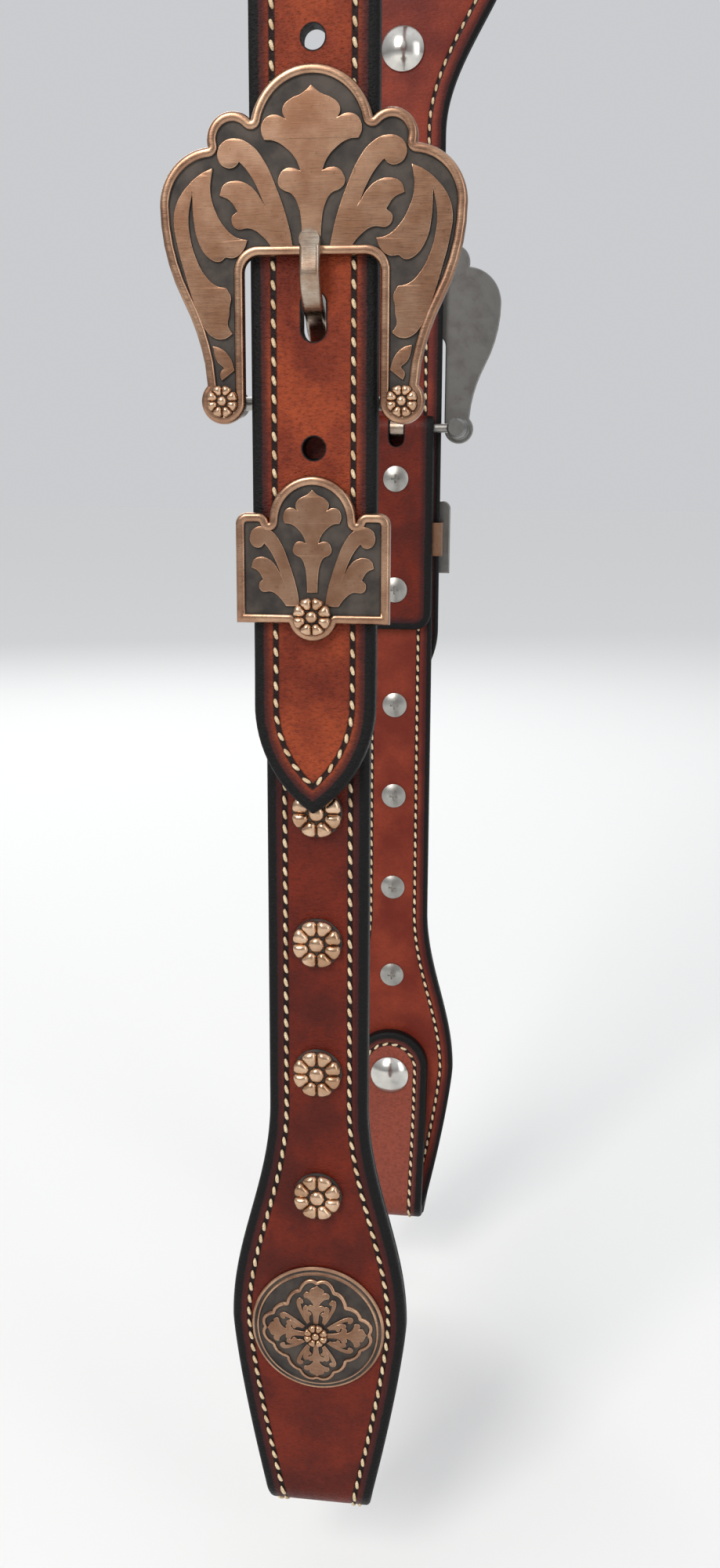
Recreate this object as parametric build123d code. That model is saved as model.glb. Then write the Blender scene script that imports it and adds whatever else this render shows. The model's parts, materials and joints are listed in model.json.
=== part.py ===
"""Western headstall hanging over a rack: one crown, two buckled cheeks, two folded bit loops.

Row frame, in millimetres: +Z is up, +Y runs from the near side to the far side, and X runs across the straps.
The origin is on the underside of the crown, at the poll. Every side part is drawn once, on the near side, and
turned half a turn about Z for the far side.

Two words place a side part: "out" is the distance outwards from the plane where the billet lies on the cheek
strap, and "z" is the height. BAR_Z is the height of the buckle bars, and most heights are given from it.
"""

import os
from math import cos, pi, radians, sin

from build123d import *

# Leather
OUTER_PLY = 2.2
LINING_PLY = 1.7
PLY_GAP = 0.05
SIDE_Y = 76.0
BILLET_BACK = 0.1
BILLET_MID = BILLET_BACK + LINING_PLY
BILLET_FRONT = BILLET_MID + PLY_GAP + OUTER_PLY
CHEEK_MID = -OUTER_PLY
CHEEK_BACK = CHEEK_MID - PLY_GAP - LINING_PLY
ARCH_Z = -(SIDE_Y + BILLET_BACK)
BAR_Z = -310.0

# Crown and billet, heights from the buckle bar
BILLET_HALF = 12.7
BILLET_TIP = -84.0
BILLET_POINT = 23.0
BILLET_BEND_FROM = -48.0
BILLET_BEND_RADIUS = 215.0
HOLE_SPACING = 25.2
HOLE_R = 2.3
TONGUE_HOLE = 16.2
TONGUE_SLOT = (9.6, 5.0)
FLARE_FROM, RING_FROM, RING_HALF = 84.0, 142.0, 33.5
RING_TO, CROWN_FROM, CROWN_HALF = 160.0, 240.0, 16.0
EAR_HALF, EAR_WIDE, EAR_DOWN, EAR_UP = 16.5, 157.0, 32.0, 51.0
CROWN_CONCHO = 106.5

# Crown flex joint
FLEX_Z = 2.2
FLEX_OPEN, FLEX_CLOSE = radians(32), radians(6)
FLEX_HALF_GAP = 0.05

# Cheek, heights from the buckle bar
CHEEK_HALF = 11.1
CHEEK_WIDE = 20.3
CHEEK_WIDE_AT = -206.0
CHEEK_NARROW_TO = -152.0
FOLD_HALF = 11.4
CHEEK_TAPER = 1.3
TURNBACK_END = -60.5
TURNBACK_SCREWS = (-15.0, -48.3)
BERRIES = (-84.5, -113.7, -143.9, -173.7)
CHEEK_CONCHO = -207.0

# Bit loop and tab
LOOP_BOTTOM = -257.0
LOOP_R = 3.2
LOOP_WALL = LOOP_R + LINING_PLY + PLY_GAP + OUTER_PLY
LOOP_Z = BAR_Z + LOOP_BOTTOM + LOOP_WALL
LOOP_OUT = CHEEK_BACK - LOOP_R
LOOP_SPLIT = radians(8)
TAB_OUT = CHEEK_BACK - 0.1
TAB_LEAN = radians(12)
TAB_BEND_R = 20.0
TAB_HALF = 12.3
TAB_END = CHEEK_CONCHO + 14.6
TAB_HOLE_R = 3.1

# Buckle, heights from the bar
BAR_R = 1.35
BAR_CLEAR = 0.075
BAND_T = 0.9
TURNBACK_FRONT = CHEEK_BACK - BAND_T - 0.2
TURNBACK_BACK = TURNBACK_FRONT - OUTER_PLY
BAR_OUT = (CHEEK_MID + TURNBACK_FRONT) / 2
FOLD_SLOT_HALF = 2.3
FOLD_SLOT_DOWN = 5.5
PLATE_BACK = 4.4
PLATE_T = 1.6
RELIEF = 0.7
RIM = 2.0
FOOT_X, FOOT_R = 17.85, 4.4
LUG_R = 2.9
WINDOW_HALF, WINDOW_TOP, WINDOW_CORNER = 13.45, 27.2, 3.0
TONGUE_W, TONGUE_T = 4.0, 2.2
TONGUE_EYE_R = 2.9

# Keeper, heights from the bar
KEEPER_HALF = 15.75
KEEPER_BOTTOM, KEEPER_SHOULDER, KEEPER_TOP = -43.8, -21.6, -14.3
KEEPER_CUSP_X, KEEPER_CUSP_Z = 8.9, -23.4
KEEPER_CORNER = 2.4
KEEPER_BACK = BILLET_FRONT + 0.15
KEEPER_BOSS_Z, KEEPER_BOSS_R = -42.3, 5.1
BAND_HALF_HEIGHT, BAND_Z = 5.0, -33.0
BAND_SIDE = 13.0

# Conchos, screws and caps
BERRY_R, BERRY_H = 5.5, 2.7
CONCHO_R, CONCHO_H = 15.5, 3.4
ROSETTE_R, ROSETTE_H = 2.8, 1.2
FOOT_ROSETTE_R, KEEPER_ROSETTE_R = 3.1, 4.0
POST_R, POST_BORE = 2.0, 1.5
SCREW_R, SCREW_HEAD_R, SCREW_HEAD_H = 1.4, 3.8, 1.1
CONCHO_POST_R = 2.2
CAP_R, CAP_H = 6.25, 2.8
HEAD_T = 0.8
TOUCH = 0.04


def plate(outline, back, front):
    """A front-view outline, in x and z, given thickness from one outward distance to another."""
    return extrude(Plane.XZ.offset(SIDE_Y + back) * outline, front - back)


def rod(x, z, back, front, radius):
    """A round bar that runs outwards, at x and z."""
    return plate(Pos(x, z) * Circle(radius), back, front)


def dome(x, z, out, radius, height, inwards=False):
    """A spherical cap standing on the plane at one outward distance."""
    ball = (radius**2 + height**2) / (2 * height)
    way = -1 if inwards else 1
    centre = Pos(x, -(SIDE_Y + out + way * (height - ball)), z)
    keep = rod(x, z, *sorted((out, out + way * height)), radius)
    return keep & (centre * Sphere(ball))


def at(out, z):
    """A point of the side view: y and z."""
    return (-(SIDE_Y + out), z)


def arc_about(out, z, radius, start, end):
    """A side-view arc about a centre. Angles are radians from straight outwards, positive upwards."""

    def point(angle):
        return at(out + radius * cos(angle), z + radius * sin(angle))

    return ThreePointArc(point(start), point((start + end) / 2), point(end))


def side_solid(first, second, half_width):
    """The solid between two side-view tracks, each a list of edges, given a width along X."""
    ends = [Line(first[0] @ 0, second[0] @ 0), Line(first[-1] @ 1, second[-1] @ 1)]
    face = Plane.YZ * make_face(first + second + ends)
    return extrude(face, half_width, both=True)


def crown_track(out):
    """One face of the crown in side view, from below the billet's tip to the poll."""
    bend_z = BAR_Z + BILLET_BEND_FROM
    sweep = (BILLET_BEND_FROM - BILLET_TIP + 1) / BILLET_BEND_RADIUS
    tip = arc_about(BILLET_BEND_RADIUS, bend_z, BILLET_BEND_RADIUS - out, pi + sweep, pi)
    up = Line(at(out, bend_z), at(out, ARCH_Z))
    poll = CenterArc((0, ARCH_Z), SIDE_Y + out, 180, -90)
    return [tip, up, poll]


def ease(t):
    """A smooth step from 0 to 1."""
    return (1 - cos(pi * t)) / 2


def swell(start, end, half_from, half_to, shape):
    """The right edge of a strap whose half width changes between two heights. Shape maps 0-1 to 0-1."""
    steps = 8
    points = []
    for n in range(steps + 1):
        t = n / steps
        points.append((half_from + (half_to - half_from) * shape(t), BAR_Z + start + (end - start) * t))
    return Spline(*points)


def crown_outline():
    """Front view of the crown: pointed billet, flare, ear ring and poll strap, without its openings."""
    point_z, tip_z = BAR_Z + BILLET_TIP + BILLET_POINT, BAR_Z + BILLET_TIP
    tip_r = (BILLET_POINT**2 + BILLET_HALF**2) / (2 * BILLET_HALF)
    half = [
        RadiusArc((BILLET_HALF, point_z), (0, tip_z), tip_r),
        Line((BILLET_HALF, point_z), (BILLET_HALF, BAR_Z + FLARE_FROM)),
        swell(FLARE_FROM, RING_FROM, BILLET_HALF, RING_HALF, ease),
        Line((RING_HALF, BAR_Z + RING_FROM), (RING_HALF, BAR_Z + RING_TO)),
        swell(RING_TO, CROWN_FROM, RING_HALF, CROWN_HALF, ease),
        Line((CROWN_HALF, BAR_Z + CROWN_FROM), (CROWN_HALF, 20)),
        Line((CROWN_HALF, 20), (0, 20)),
        Line((0, 20), (0, tip_z)),
    ]
    right = make_face(half)
    return right + mirror(right, Plane.YZ)


def ear_opening():
    """The opening that the ear passes through: half a short ellipse below half a long one."""
    low = Ellipse(EAR_HALF, EAR_DOWN) & Pos(0, -EAR_DOWN / 2) * Rectangle(3 * EAR_HALF, EAR_DOWN)
    high = Ellipse(EAR_HALF, EAR_UP) & Pos(0, EAR_UP / 2) * Rectangle(3 * EAR_HALF, EAR_UP)
    return Pos(0, BAR_Z + EAR_WIDE) * (low + high)


def poll_notch():
    """Cuts the crown at the poll, leaving a wedge on each face so that the two halves can turn."""
    up, down = 8.0, 8.0
    points = [
        (-FLEX_HALF_GAP, FLEX_Z),
        (-FLEX_HALF_GAP - up * FLEX_OPEN, FLEX_Z + up),
        (up, FLEX_Z + up),
        (up, FLEX_Z - down),
        (-FLEX_HALF_GAP - down * FLEX_CLOSE, FLEX_Z - down),
    ]
    return extrude(Plane.YZ * make_face(Polyline(points, close=True)), 40, both=True)


def crown_ply(back, front):
    """One ply of the near half of the crown, with its ear opening, billet holes and concho hole."""
    strap = side_solid(crown_track(back), crown_track(front), 40)
    reach = SIDE_Y + 12
    strap &= extrude(Plane.XZ * crown_outline(), reach)
    slot = Pos(0, BAR_Z + TONGUE_HOLE) * SlotOverall(*TONGUE_SLOT, rotation=90)
    cuts = plate(ear_opening(), -10, 20) + plate(slot, -10, 20)
    cuts += rod(0, BAR_Z + CROWN_CONCHO, -10, 20, CONCHO_POST_R + 0.1)
    for step in (-2, -1, 1, 2):
        cuts += rod(0, BAR_Z + TONGUE_HOLE + step * HOLE_SPACING, -10, 20, HOLE_R)
    return strap - cuts - poll_notch()


def cheek_outline():
    """Front view of the cheek strap: straight, swelling out round the big concho, tapering to the loop."""
    top, low = BAR_Z + 12, BAR_Z + LOOP_BOTTOM
    half = [
        Line((0, top), (CHEEK_HALF, top)),
        Line((CHEEK_HALF, top), (CHEEK_HALF, BAR_Z + CHEEK_NARROW_TO)),
        swell(CHEEK_NARROW_TO, CHEEK_WIDE_AT, CHEEK_HALF, CHEEK_WIDE, ease),
        swell(CHEEK_WIDE_AT, LOOP_BOTTOM, CHEEK_WIDE, FOLD_HALF, lambda t: t**CHEEK_TAPER),
        Line((FOLD_HALF, low), (FOLD_HALF, low - 2)),
        Line((FOLD_HALF, low - 2), (0, low - 2)),
        Line((0, low - 2), (0, top)),
    ]
    right = make_face(half)
    return right + mirror(right, Plane.YZ)


def loop_arc(radius, start, end):
    """An arc of the bit loop's eye."""
    return arc_about(LOOP_OUT, LOOP_Z, radius, start, end)


def cheek_outer_track(front, bar_radius, back, loop_radius):
    """One face of the cheek's outer ply in side view: turn-back, over the bar, down the front, into the loop."""
    over = arc_about(BAR_OUT, BAR_Z, bar_radius, pi, 0)
    return [
        Line(at(back, BAR_Z + TURNBACK_END), at(back, BAR_Z)),
        over,
        Line(at(front, BAR_Z), at(front, LOOP_Z)),
        loop_arc(loop_radius, 0, LOOP_SPLIT - pi / 2),
    ]


def cheek_holes(back, front):
    """The holes that the berry, concho and turn-back posts pass through."""
    holes = rod(0, BAR_Z + CHEEK_CONCHO, back, front, CONCHO_POST_R + 0.1)
    for z in BERRIES + TURNBACK_SCREWS:
        holes += rod(0, BAR_Z + z, back, front, POST_R + 0.1)
    return holes


def turnback_outline():
    """Front view of the turned-back end, with round corners at its bottom."""
    corner = 5.0
    shape = Pos(0, BAR_Z + TURNBACK_END / 2 + 10) * Rectangle(2 * CHEEK_HALF, -TURNBACK_END + 20)
    return fillet(shape.vertices().group_by(Axis.Y)[0], corner)


def cheek_outer():
    """The cheek's outer ply, with the slot for the tongue and the recesses for the post heads."""
    inner = cheek_outer_track(CHEEK_MID, BAR_R + BAR_CLEAR, TURNBACK_FRONT, LOOP_WALL - OUTER_PLY)
    outer = cheek_outer_track(0, -BAR_OUT, TURNBACK_BACK, LOOP_WALL)
    strap = side_solid(inner, outer, 25) & plate(cheek_outline(), -40, 20)
    split = TURNBACK_FRONT + PLY_GAP
    back_part = strap & plate(turnback_outline(), -40, split)
    strap = (strap & plate(cheek_outline(), split, 20)) + back_part
    slot_low, slot_high = BAR_Z - FOLD_SLOT_DOWN, BAR_Z + 6
    slot = Pos(0, (slot_low + slot_high) / 2) * Rectangle(2 * FOLD_SLOT_HALF, slot_high - slot_low)
    strap -= plate(slot, -40, 20) + cheek_holes(-20, 20)
    for z in TURNBACK_SCREWS:
        strap -= rod(0, BAR_Z + z, -HEAD_T - TOUCH, 20, SCREW_HEAD_R + 0.1)
    return strap


def cheek_lining():
    """The cheek's inner ply, from just under the bar into the loop."""
    top = BAR_Z - 6.5

    def track(out, radius):
        return [Line(at(out, top), at(out, LOOP_Z)), loop_arc(radius, 0, LOOP_SPLIT - pi / 2)]

    strap = side_solid(track(CHEEK_BACK, LOOP_R), track(CHEEK_MID - PLY_GAP, LOOP_R + LINING_PLY), 25)
    return (strap & plate(cheek_outline(), -40, 20)) - cheek_holes(-20, 20)


def tab_track(depth):
    """One face of the bit tab in side view. Depth is how far the face lies from the tab's lined face."""
    radius = LOOP_R + depth
    lean_bend = TAB_BEND_R - depth
    run_out = TAB_OUT - LOOP_OUT + LOOP_R * cos(TAB_LEAN) - TAB_BEND_R * (1 - cos(TAB_LEAN))
    run = run_out / sin(TAB_LEAN)
    bend_z = LOOP_Z + (LOOP_R + TAB_BEND_R) * sin(TAB_LEAN) + run * cos(TAB_LEAN)
    eye = loop_arc(radius, -pi / 2 - LOOP_SPLIT, -pi - TAB_LEAN)
    bend = arc_about(TAB_OUT - TAB_BEND_R, bend_z, lean_bend, -TAB_LEAN, 0)
    flat = Line(at(TAB_OUT - depth, bend_z), at(TAB_OUT - depth, BAR_Z + TAB_END))
    return [eye, Line(eye @ 1, bend @ 0), bend, flat]


def tab_outline():
    """Front view of the bit tab: round at the top, tapering to the fold."""
    centre = BAR_Z + TAB_END - TAB_HALF
    low = BAR_Z + LOOP_BOTTOM
    body = make_face(
        Polyline(
            (-TAB_HALF, centre), (TAB_HALF, centre), (FOLD_HALF, low), (FOLD_HALF, low - 2),
            (-FOLD_HALF, low - 2), (-FOLD_HALF, low), close=True,
        )
    )
    return body + Pos(0, centre) * Circle(TAB_HALF)


def bit_tab(inner, outer):
    """One ply of the bit tab, between two depths from its lined face."""
    strap = side_solid(tab_track(inner), tab_track(outer), 25) & plate(tab_outline(), -40, 20)
    return strap - rod(0, BAR_Z + CHEEK_CONCHO, -40, 20, TAB_HOLE_R)


def buckle_outline():
    """Front view of the buckle plate: three stepped lobes a side and two legs that end in round feet."""
    top_r = 11.9
    cusp_1, cusp_2 = (11.7, 51.9), (20.2, 47.2)
    widest, leg = (29.9, 36.6), (25.6, 19.0)
    upper_wing = TangentArc(widest, cusp_2, tangent=(0, 1))
    lower_wing = TangentArc(widest, leg, tangent=(0, -1))
    leg_side = TangentArc(leg, (21.0, 4.0), tangent=lower_wing % 1)
    edge = [
        RadiusArc((0, 61.5), cusp_1, top_r),
        RadiusArc(cusp_1, cusp_2, 5.0),
        upper_wing,
        lower_wing,
        leg_side,
        Line((21.0, 4.0), (FOOT_X, 0)),
        Line((FOOT_X, 0), (WINDOW_HALF, 0)),
        Line((WINDOW_HALF, 0), (0, 0)),
        Line((0, 0), (0, 61.5)),
    ]
    right = make_face(edge) + Pos(FOOT_X, 0) * Circle(FOOT_R)
    whole = right + mirror(right, Plane.YZ)
    window = Pos(0, WINDOW_TOP - 20) * RectangleRounded(2 * WINDOW_HALF, 40, WINDOW_CORNER)
    return Pos(0, BAR_Z) * (whole - window)


def buckle_frame():
    """The cast plate with its raised rim, and the two lugs behind its feet that carry the bar."""
    outline = buckle_outline()
    front = PLATE_BACK + PLATE_T
    frame = plate(outline, PLATE_BACK, front + RELIEF)
    field = offset(outline, -RIM)
    for x in (-FOOT_X, FOOT_X):
        field -= Pos(x, BAR_Z) * Circle(FOOT_ROSETTE_R + 0.3)
    frame -= plate(field, front, front + RELIEF + 1)
    for x in (-FOOT_X, FOOT_X):
        frame += rod(x, BAR_Z, BAR_OUT - LUG_R, PLATE_BACK + 0.1, LUG_R)
    bore = Cylinder(BAR_R + 0.02, 2 * FOOT_X + 2 * LUG_R - 1.6, rotation=(0, 90, 0))
    return frame - Pos(0, *at(BAR_OUT, BAR_Z)) * bore


def buckle_bar():
    """The round bar that the cheek strap and the tongue turn on."""
    length = 2 * FOOT_X + 2 * LUG_R - 2.0
    return Pos(0, *at(BAR_OUT, BAR_Z)) * Cylinder(BAR_R, length, rotation=(0, 90, 0))


def buckle_tongue():
    """The tongue: an eye round the bar, and a shank that comes out through the billet and rests on the plate."""
    rest = PLATE_BACK + PLATE_T + RELIEF + 0.1 + TONGUE_T / 2
    points = [(-3.9, 2.2), (-3.4, 11.2), (0.0, 15.9), (4.4, 18.0), (rest, 22.6), (rest, 29.8)]
    path = Spline(*[at(out, BAR_Z + z) for out, z in points], tangents=[(0, 1), (0, 1)])
    start = Plane(origin=(0, *at(points[0][0], BAR_Z + points[0][1])), x_dir=(1, 0, 0), z_dir=(0, 0, 1))
    shank = sweep(start * RectangleRounded(TONGUE_W, TONGUE_T, 0.7), Plane.YZ * path)
    tip = Pos(0, *at(rest, BAR_Z + points[-1][1])) * Cylinder(TONGUE_W / 2, TONGUE_T, rotation=(90, 0, 0))
    eye = Cylinder(TONGUE_EYE_R, TONGUE_W, rotation=(0, 90, 0))
    bore = Cylinder(BAR_R + 0.06, TONGUE_W + 1, rotation=(0, 90, 0))
    centre = Pos(0, *at(BAR_OUT, BAR_Z))
    return shank + tip + centre * eye - centre * bore


def keeper_outline():
    """Front view of the keeper plate: a dome between two round shoulders, and a boss at the bottom."""
    shoulder_in = KEEPER_CUSP_X + 2.2
    edge = [
        RadiusArc((0, KEEPER_TOP), (KEEPER_CUSP_X, KEEPER_CUSP_Z), 9.0),
        RadiusArc((KEEPER_CUSP_X, KEEPER_CUSP_Z), (shoulder_in, KEEPER_SHOULDER), 3.0),
        Line((shoulder_in, KEEPER_SHOULDER), (KEEPER_HALF - KEEPER_CORNER, KEEPER_SHOULDER)),
        RadiusArc(
            (KEEPER_HALF - KEEPER_CORNER, KEEPER_SHOULDER),
            (KEEPER_HALF, KEEPER_SHOULDER - KEEPER_CORNER),
            KEEPER_CORNER,
        ),
        Line((KEEPER_HALF, KEEPER_SHOULDER - KEEPER_CORNER), (KEEPER_HALF, KEEPER_BOTTOM)),
        Line((KEEPER_HALF, KEEPER_BOTTOM), (0, KEEPER_BOTTOM)),
        Line((0, KEEPER_BOTTOM), (0, KEEPER_TOP)),
    ]
    right = make_face(edge)
    whole = right + mirror(right, Plane.YZ) + Pos(0, KEEPER_BOSS_Z) * Circle(KEEPER_BOSS_R)
    return Pos(0, BAR_Z) * whole


def keeper_plate():
    """The keeper's cast front plate, with a raised rim and a seat for its rosette."""
    outline = keeper_outline()
    front = KEEPER_BACK + PLATE_T
    field = offset(outline, -RIM) - Pos(0, BAR_Z + KEEPER_BOSS_Z) * Circle(KEEPER_BOSS_R - 0.4)
    return plate(outline, KEEPER_BACK, front + RELIEF) - plate(field, front, front + RELIEF + 1)


def keeper_band():
    """The strip behind the keeper plate: two sides, and a back that lies inside the turn-back."""
    z = BAR_Z + BAND_Z
    back = CHEEK_BACK - 0.1 - BAND_T
    width, height = 2 * (BAND_SIDE + BAND_T), 2 * BAND_HALF_HEIGHT
    band = plate(Pos(0, z) * Rectangle(width, height), back, KEEPER_BACK - TOUCH)
    return band - plate(Pos(0, z) * Rectangle(2 * BAND_SIDE, height), back + BAND_T, KEEPER_BACK)


def rosette(x, z, out, radius, height):
    """A small domed flower: a button and a ring of eight petals on a thin disc."""
    petals = 8
    base = rod(x, z, out, out + 0.3 * height, radius)
    flower = base + dome(x, z, out + 0.25 * height, 0.34 * radius, 0.75 * height)
    ring, petal_r = 0.68 * radius, 0.25 * radius
    for n in range(petals):
        angle = 2 * pi * (n + 0.5) / petals
        spot = (x + ring * cos(angle), z + ring * sin(angle))
        flower += dome(*spot, out + 0.25 * height, petal_r, 0.6 * height)
    return flower


def berry(z):
    """One berry concho: a petalled dome, and a hollow threaded post through the cheek."""
    top = rod(0, z, TOUCH, 0.9, BERRY_R) + rosette(0, z, 0.9 - 0.05, BERRY_R, BERRY_H - 0.85)
    post = rod(0, z, CHEEK_BACK + 0.2, 0.5, POST_R)
    return top + post - rod(0, z, -20, 0.2, POST_BORE)


def screw(z, under_head, tip):
    """A pan-headed screw put in from the inside, with a cross recess."""
    head = rod(0, z, under_head - 0.35, under_head, SCREW_HEAD_R)
    head += dome(0, z, under_head - 0.35, SCREW_HEAD_R, SCREW_HEAD_H - 0.35, inwards=True)
    cross = Rectangle(2.6, 0.55) + Rectangle(0.55, 2.6)
    body = head + rod(0, z, under_head - 0.1, tip, SCREW_R)
    return body - plate(Pos(0, z) * cross, under_head - 3, under_head - 0.45)


def concho(z, face, post_end):
    """A large domed concho on the face at one outward distance, with its hollow threaded post."""
    top = rod(0, z, face + TOUCH, face + 0.9, CONCHO_R) + dome(0, z, face + 0.85, CONCHO_R - 0.4, CONCHO_H - 0.85)
    post = rod(0, z, post_end, face + 0.5, CONCHO_POST_R)
    return top + post - rod(0, z, post_end - 1, face + 0.3, POST_BORE + 0.1)


def cap(z, under_head, stud):
    """A smooth domed cap whose threaded stud screws into a concho's post from the inside."""
    head = rod(0, z, under_head - 0.5, under_head, CAP_R)
    head += dome(0, z, under_head - 0.5, CAP_R, CAP_H - 0.5, inwards=True)
    return head + rod(0, z, under_head - 0.1, under_head + stud, POST_BORE)


def turnback_post(z):
    """A flat-headed hollow post let into the cheek's front, under the billet."""
    head = rod(0, z, -HEAD_T, -TOUCH, SCREW_HEAD_R)
    barrel = rod(0, z, TURNBACK_BACK + 0.3, -HEAD_T + 0.1, POST_R)
    return head + barrel - rod(0, z, -20, -HEAD_T - 0.1, POST_BORE)


def side_parts():
    """Every part of the near side, by node name without its suffix."""
    tab_back = TAB_OUT - LINING_PLY - PLY_GAP - OUTER_PLY
    concho_z, crown_z = BAR_Z + CHEEK_CONCHO, BAR_Z + CROWN_CONCHO
    plate_face = PLATE_BACK + PLATE_T + RELIEF + TOUCH
    keeper_face = KEEPER_BACK + PLATE_T + RELIEF + TOUCH
    dome_top = CONCHO_H - 0.35
    boss_z = BAR_Z + KEEPER_BOSS_Z
    return {
        "crown_outer": [crown_ply(BILLET_MID + PLY_GAP, BILLET_FRONT)],
        "crown_lining": [crown_ply(BILLET_BACK, BILLET_MID)],
        "crown_concho": [concho(crown_z, BILLET_FRONT, BILLET_BACK + 0.2)],
        "crown_concho_rosette": [rosette(0, crown_z, BILLET_FRONT + CONCHO_H + TOUCH, ROSETTE_R, ROSETTE_H)],
        "crown_cap": [cap(crown_z, BILLET_BACK - TOUCH, 3.2)],
        "cheek_outer": [cheek_outer()],
        "cheek_lining": [cheek_lining()],
        "turnback_posts": [turnback_post(BAR_Z + z) for z in TURNBACK_SCREWS],
        "turnback_screws": [screw(BAR_Z + z, TURNBACK_BACK - TOUCH, -2.0) for z in TURNBACK_SCREWS],
        "berry_conchos": [berry(BAR_Z + z) for z in BERRIES],
        "berry_screws": [screw(BAR_Z + z, CHEEK_BACK - TOUCH, -0.6) for z in BERRIES],
        "cheek_concho": [concho(concho_z, 0, tab_back + 0.4)],
        "cheek_concho_rosette": [rosette(0, concho_z, CONCHO_H + TOUCH, ROSETTE_R, ROSETTE_H)],
        "bit_cap": [cap(concho_z, tab_back - TOUCH, 5.5)],
        "bit_tab_outer": [bit_tab(LINING_PLY + PLY_GAP, LINING_PLY + PLY_GAP + OUTER_PLY)],
        "bit_tab_lining": [bit_tab(0, LINING_PLY)],
        "buckle_frame": [buckle_frame()],
        "buckle_bar": [buckle_bar()],
        "buckle_rosettes": [rosette(x, BAR_Z, plate_face, FOOT_ROSETTE_R, 1.3) for x in (-FOOT_X, FOOT_X)],
        "buckle_tongue": [buckle_tongue()],
        "keeper_plate": [keeper_plate()],
        "keeper_band": [keeper_band()],
        "keeper_rosette": [rosette(0, boss_z, keeper_face, KEEPER_ROSETTE_R, 1.6)],
    }


os.makedirs("parts", exist_ok=True)
for name, shapes in side_parts().items():
    solids = [solid for shape in shapes for solid in shape.solids()]
    export_step(Compound(children=solids), f"parts/{name}_near.step")
    turned = [Rot(0, 0, 180) * solid for solid in solids]
    export_step(Compound(children=turned), f"parts/{name}_far.step")
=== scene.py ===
"""Looks of the western headstall: stitched leather, cast copper hardware, nickel screws and caps, studio.

Lengths are in millimetres until a mesh is made, and metres in Blender. Side parts are drawn in "side"
coordinates: x across the strap, out = distance outwards from the plane where the billet lies on the cheek,
and z = height.
"""
import json
from cmath import exp, phase
from math import cos, degrees, pi, radians, sin, sqrt

import bmesh
import bpy
import numpy as np
from mathutils import Matrix, Vector


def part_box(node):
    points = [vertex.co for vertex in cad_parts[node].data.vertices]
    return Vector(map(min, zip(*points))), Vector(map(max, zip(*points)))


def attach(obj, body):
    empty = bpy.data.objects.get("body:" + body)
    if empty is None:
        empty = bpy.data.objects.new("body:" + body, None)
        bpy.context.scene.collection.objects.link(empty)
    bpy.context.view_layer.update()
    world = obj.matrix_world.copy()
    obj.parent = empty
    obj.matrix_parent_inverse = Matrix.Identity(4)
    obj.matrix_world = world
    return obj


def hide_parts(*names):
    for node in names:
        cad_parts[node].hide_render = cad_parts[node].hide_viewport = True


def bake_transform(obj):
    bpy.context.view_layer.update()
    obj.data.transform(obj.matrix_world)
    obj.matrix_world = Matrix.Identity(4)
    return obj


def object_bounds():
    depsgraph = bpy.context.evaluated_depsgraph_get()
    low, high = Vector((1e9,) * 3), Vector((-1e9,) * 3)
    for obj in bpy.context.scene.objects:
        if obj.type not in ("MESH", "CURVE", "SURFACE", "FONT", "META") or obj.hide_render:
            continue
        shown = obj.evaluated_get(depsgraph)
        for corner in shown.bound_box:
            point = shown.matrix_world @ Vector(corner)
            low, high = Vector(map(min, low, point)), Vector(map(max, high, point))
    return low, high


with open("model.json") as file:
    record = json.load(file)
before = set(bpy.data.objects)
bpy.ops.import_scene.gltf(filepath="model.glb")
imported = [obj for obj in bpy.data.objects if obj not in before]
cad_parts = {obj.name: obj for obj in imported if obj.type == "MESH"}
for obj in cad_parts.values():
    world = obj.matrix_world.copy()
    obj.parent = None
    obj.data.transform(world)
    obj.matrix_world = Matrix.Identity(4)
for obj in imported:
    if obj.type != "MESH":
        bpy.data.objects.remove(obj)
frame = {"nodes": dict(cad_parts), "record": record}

CAD_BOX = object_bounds()
MM = 0.001
FLOOR_GAP = 0.025
JOINTS = {joint["name"]: joint for joint in frame["record"]["behaviour"]["joints"]}

# Places taken from the frame
SIDE_Y = -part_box("cheek_outer_near")[0].y / MM
BAR_OUT = -JOINTS["near_buckle_tilt"]["pos_m"][1] / MM - SIDE_Y
BAR_Z = JOINTS["near_buckle_tilt"]["pos_m"][2] / MM
LOOP_Z = JOINTS["near_tab_open"]["pos_m"][2] / MM

# Leather
OUTER_PLY, LINING_PLY, PLY_GAP = 2.2, 1.7, 0.05
BILLET_BACK = 0.1
BILLET_FRONT = BILLET_BACK + LINING_PLY + PLY_GAP + OUTER_PLY
CHEEK_MID = -OUTER_PLY
CHEEK_BACK = CHEEK_MID - PLY_GAP - LINING_PLY
BILLET_HALF, BILLET_TIP, BILLET_POINT = 12.7, -84.0, 23.0
BEND_FROM, BEND_R = -48.0, 215.0
HOLE_SPACING, HOLE_R, TONGUE_HOLE = 25.2, 2.3, 16.2
TONGUE_SLOT = (9.6, 5.0)
FLARE_FROM, RING_FROM, RING_HALF = 84.0, 142.0, 33.5
RING_TO, CROWN_FROM, CROWN_HALF = 160.0, 240.0, 16.0
EAR_HALF, EAR_WIDE, EAR_DOWN, EAR_UP = 16.5, 157.0, 32.0, 51.0
CROWN_CONCHO = 106.5
CHEEK_HALF, CHEEK_WIDE, FOLD_HALF, CHEEK_TAPER = 11.1, 20.3, 11.4, 1.3
NARROW_TO, WIDE_AT, LOOP_BOTTOM = -152.0, -206.0, -257.0
TURNBACK_END, TURNBACK_SCREWS = -60.5, (-15.0, -48.3)
TURNBACK_FRONT = CHEEK_BACK - 1.1
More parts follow.
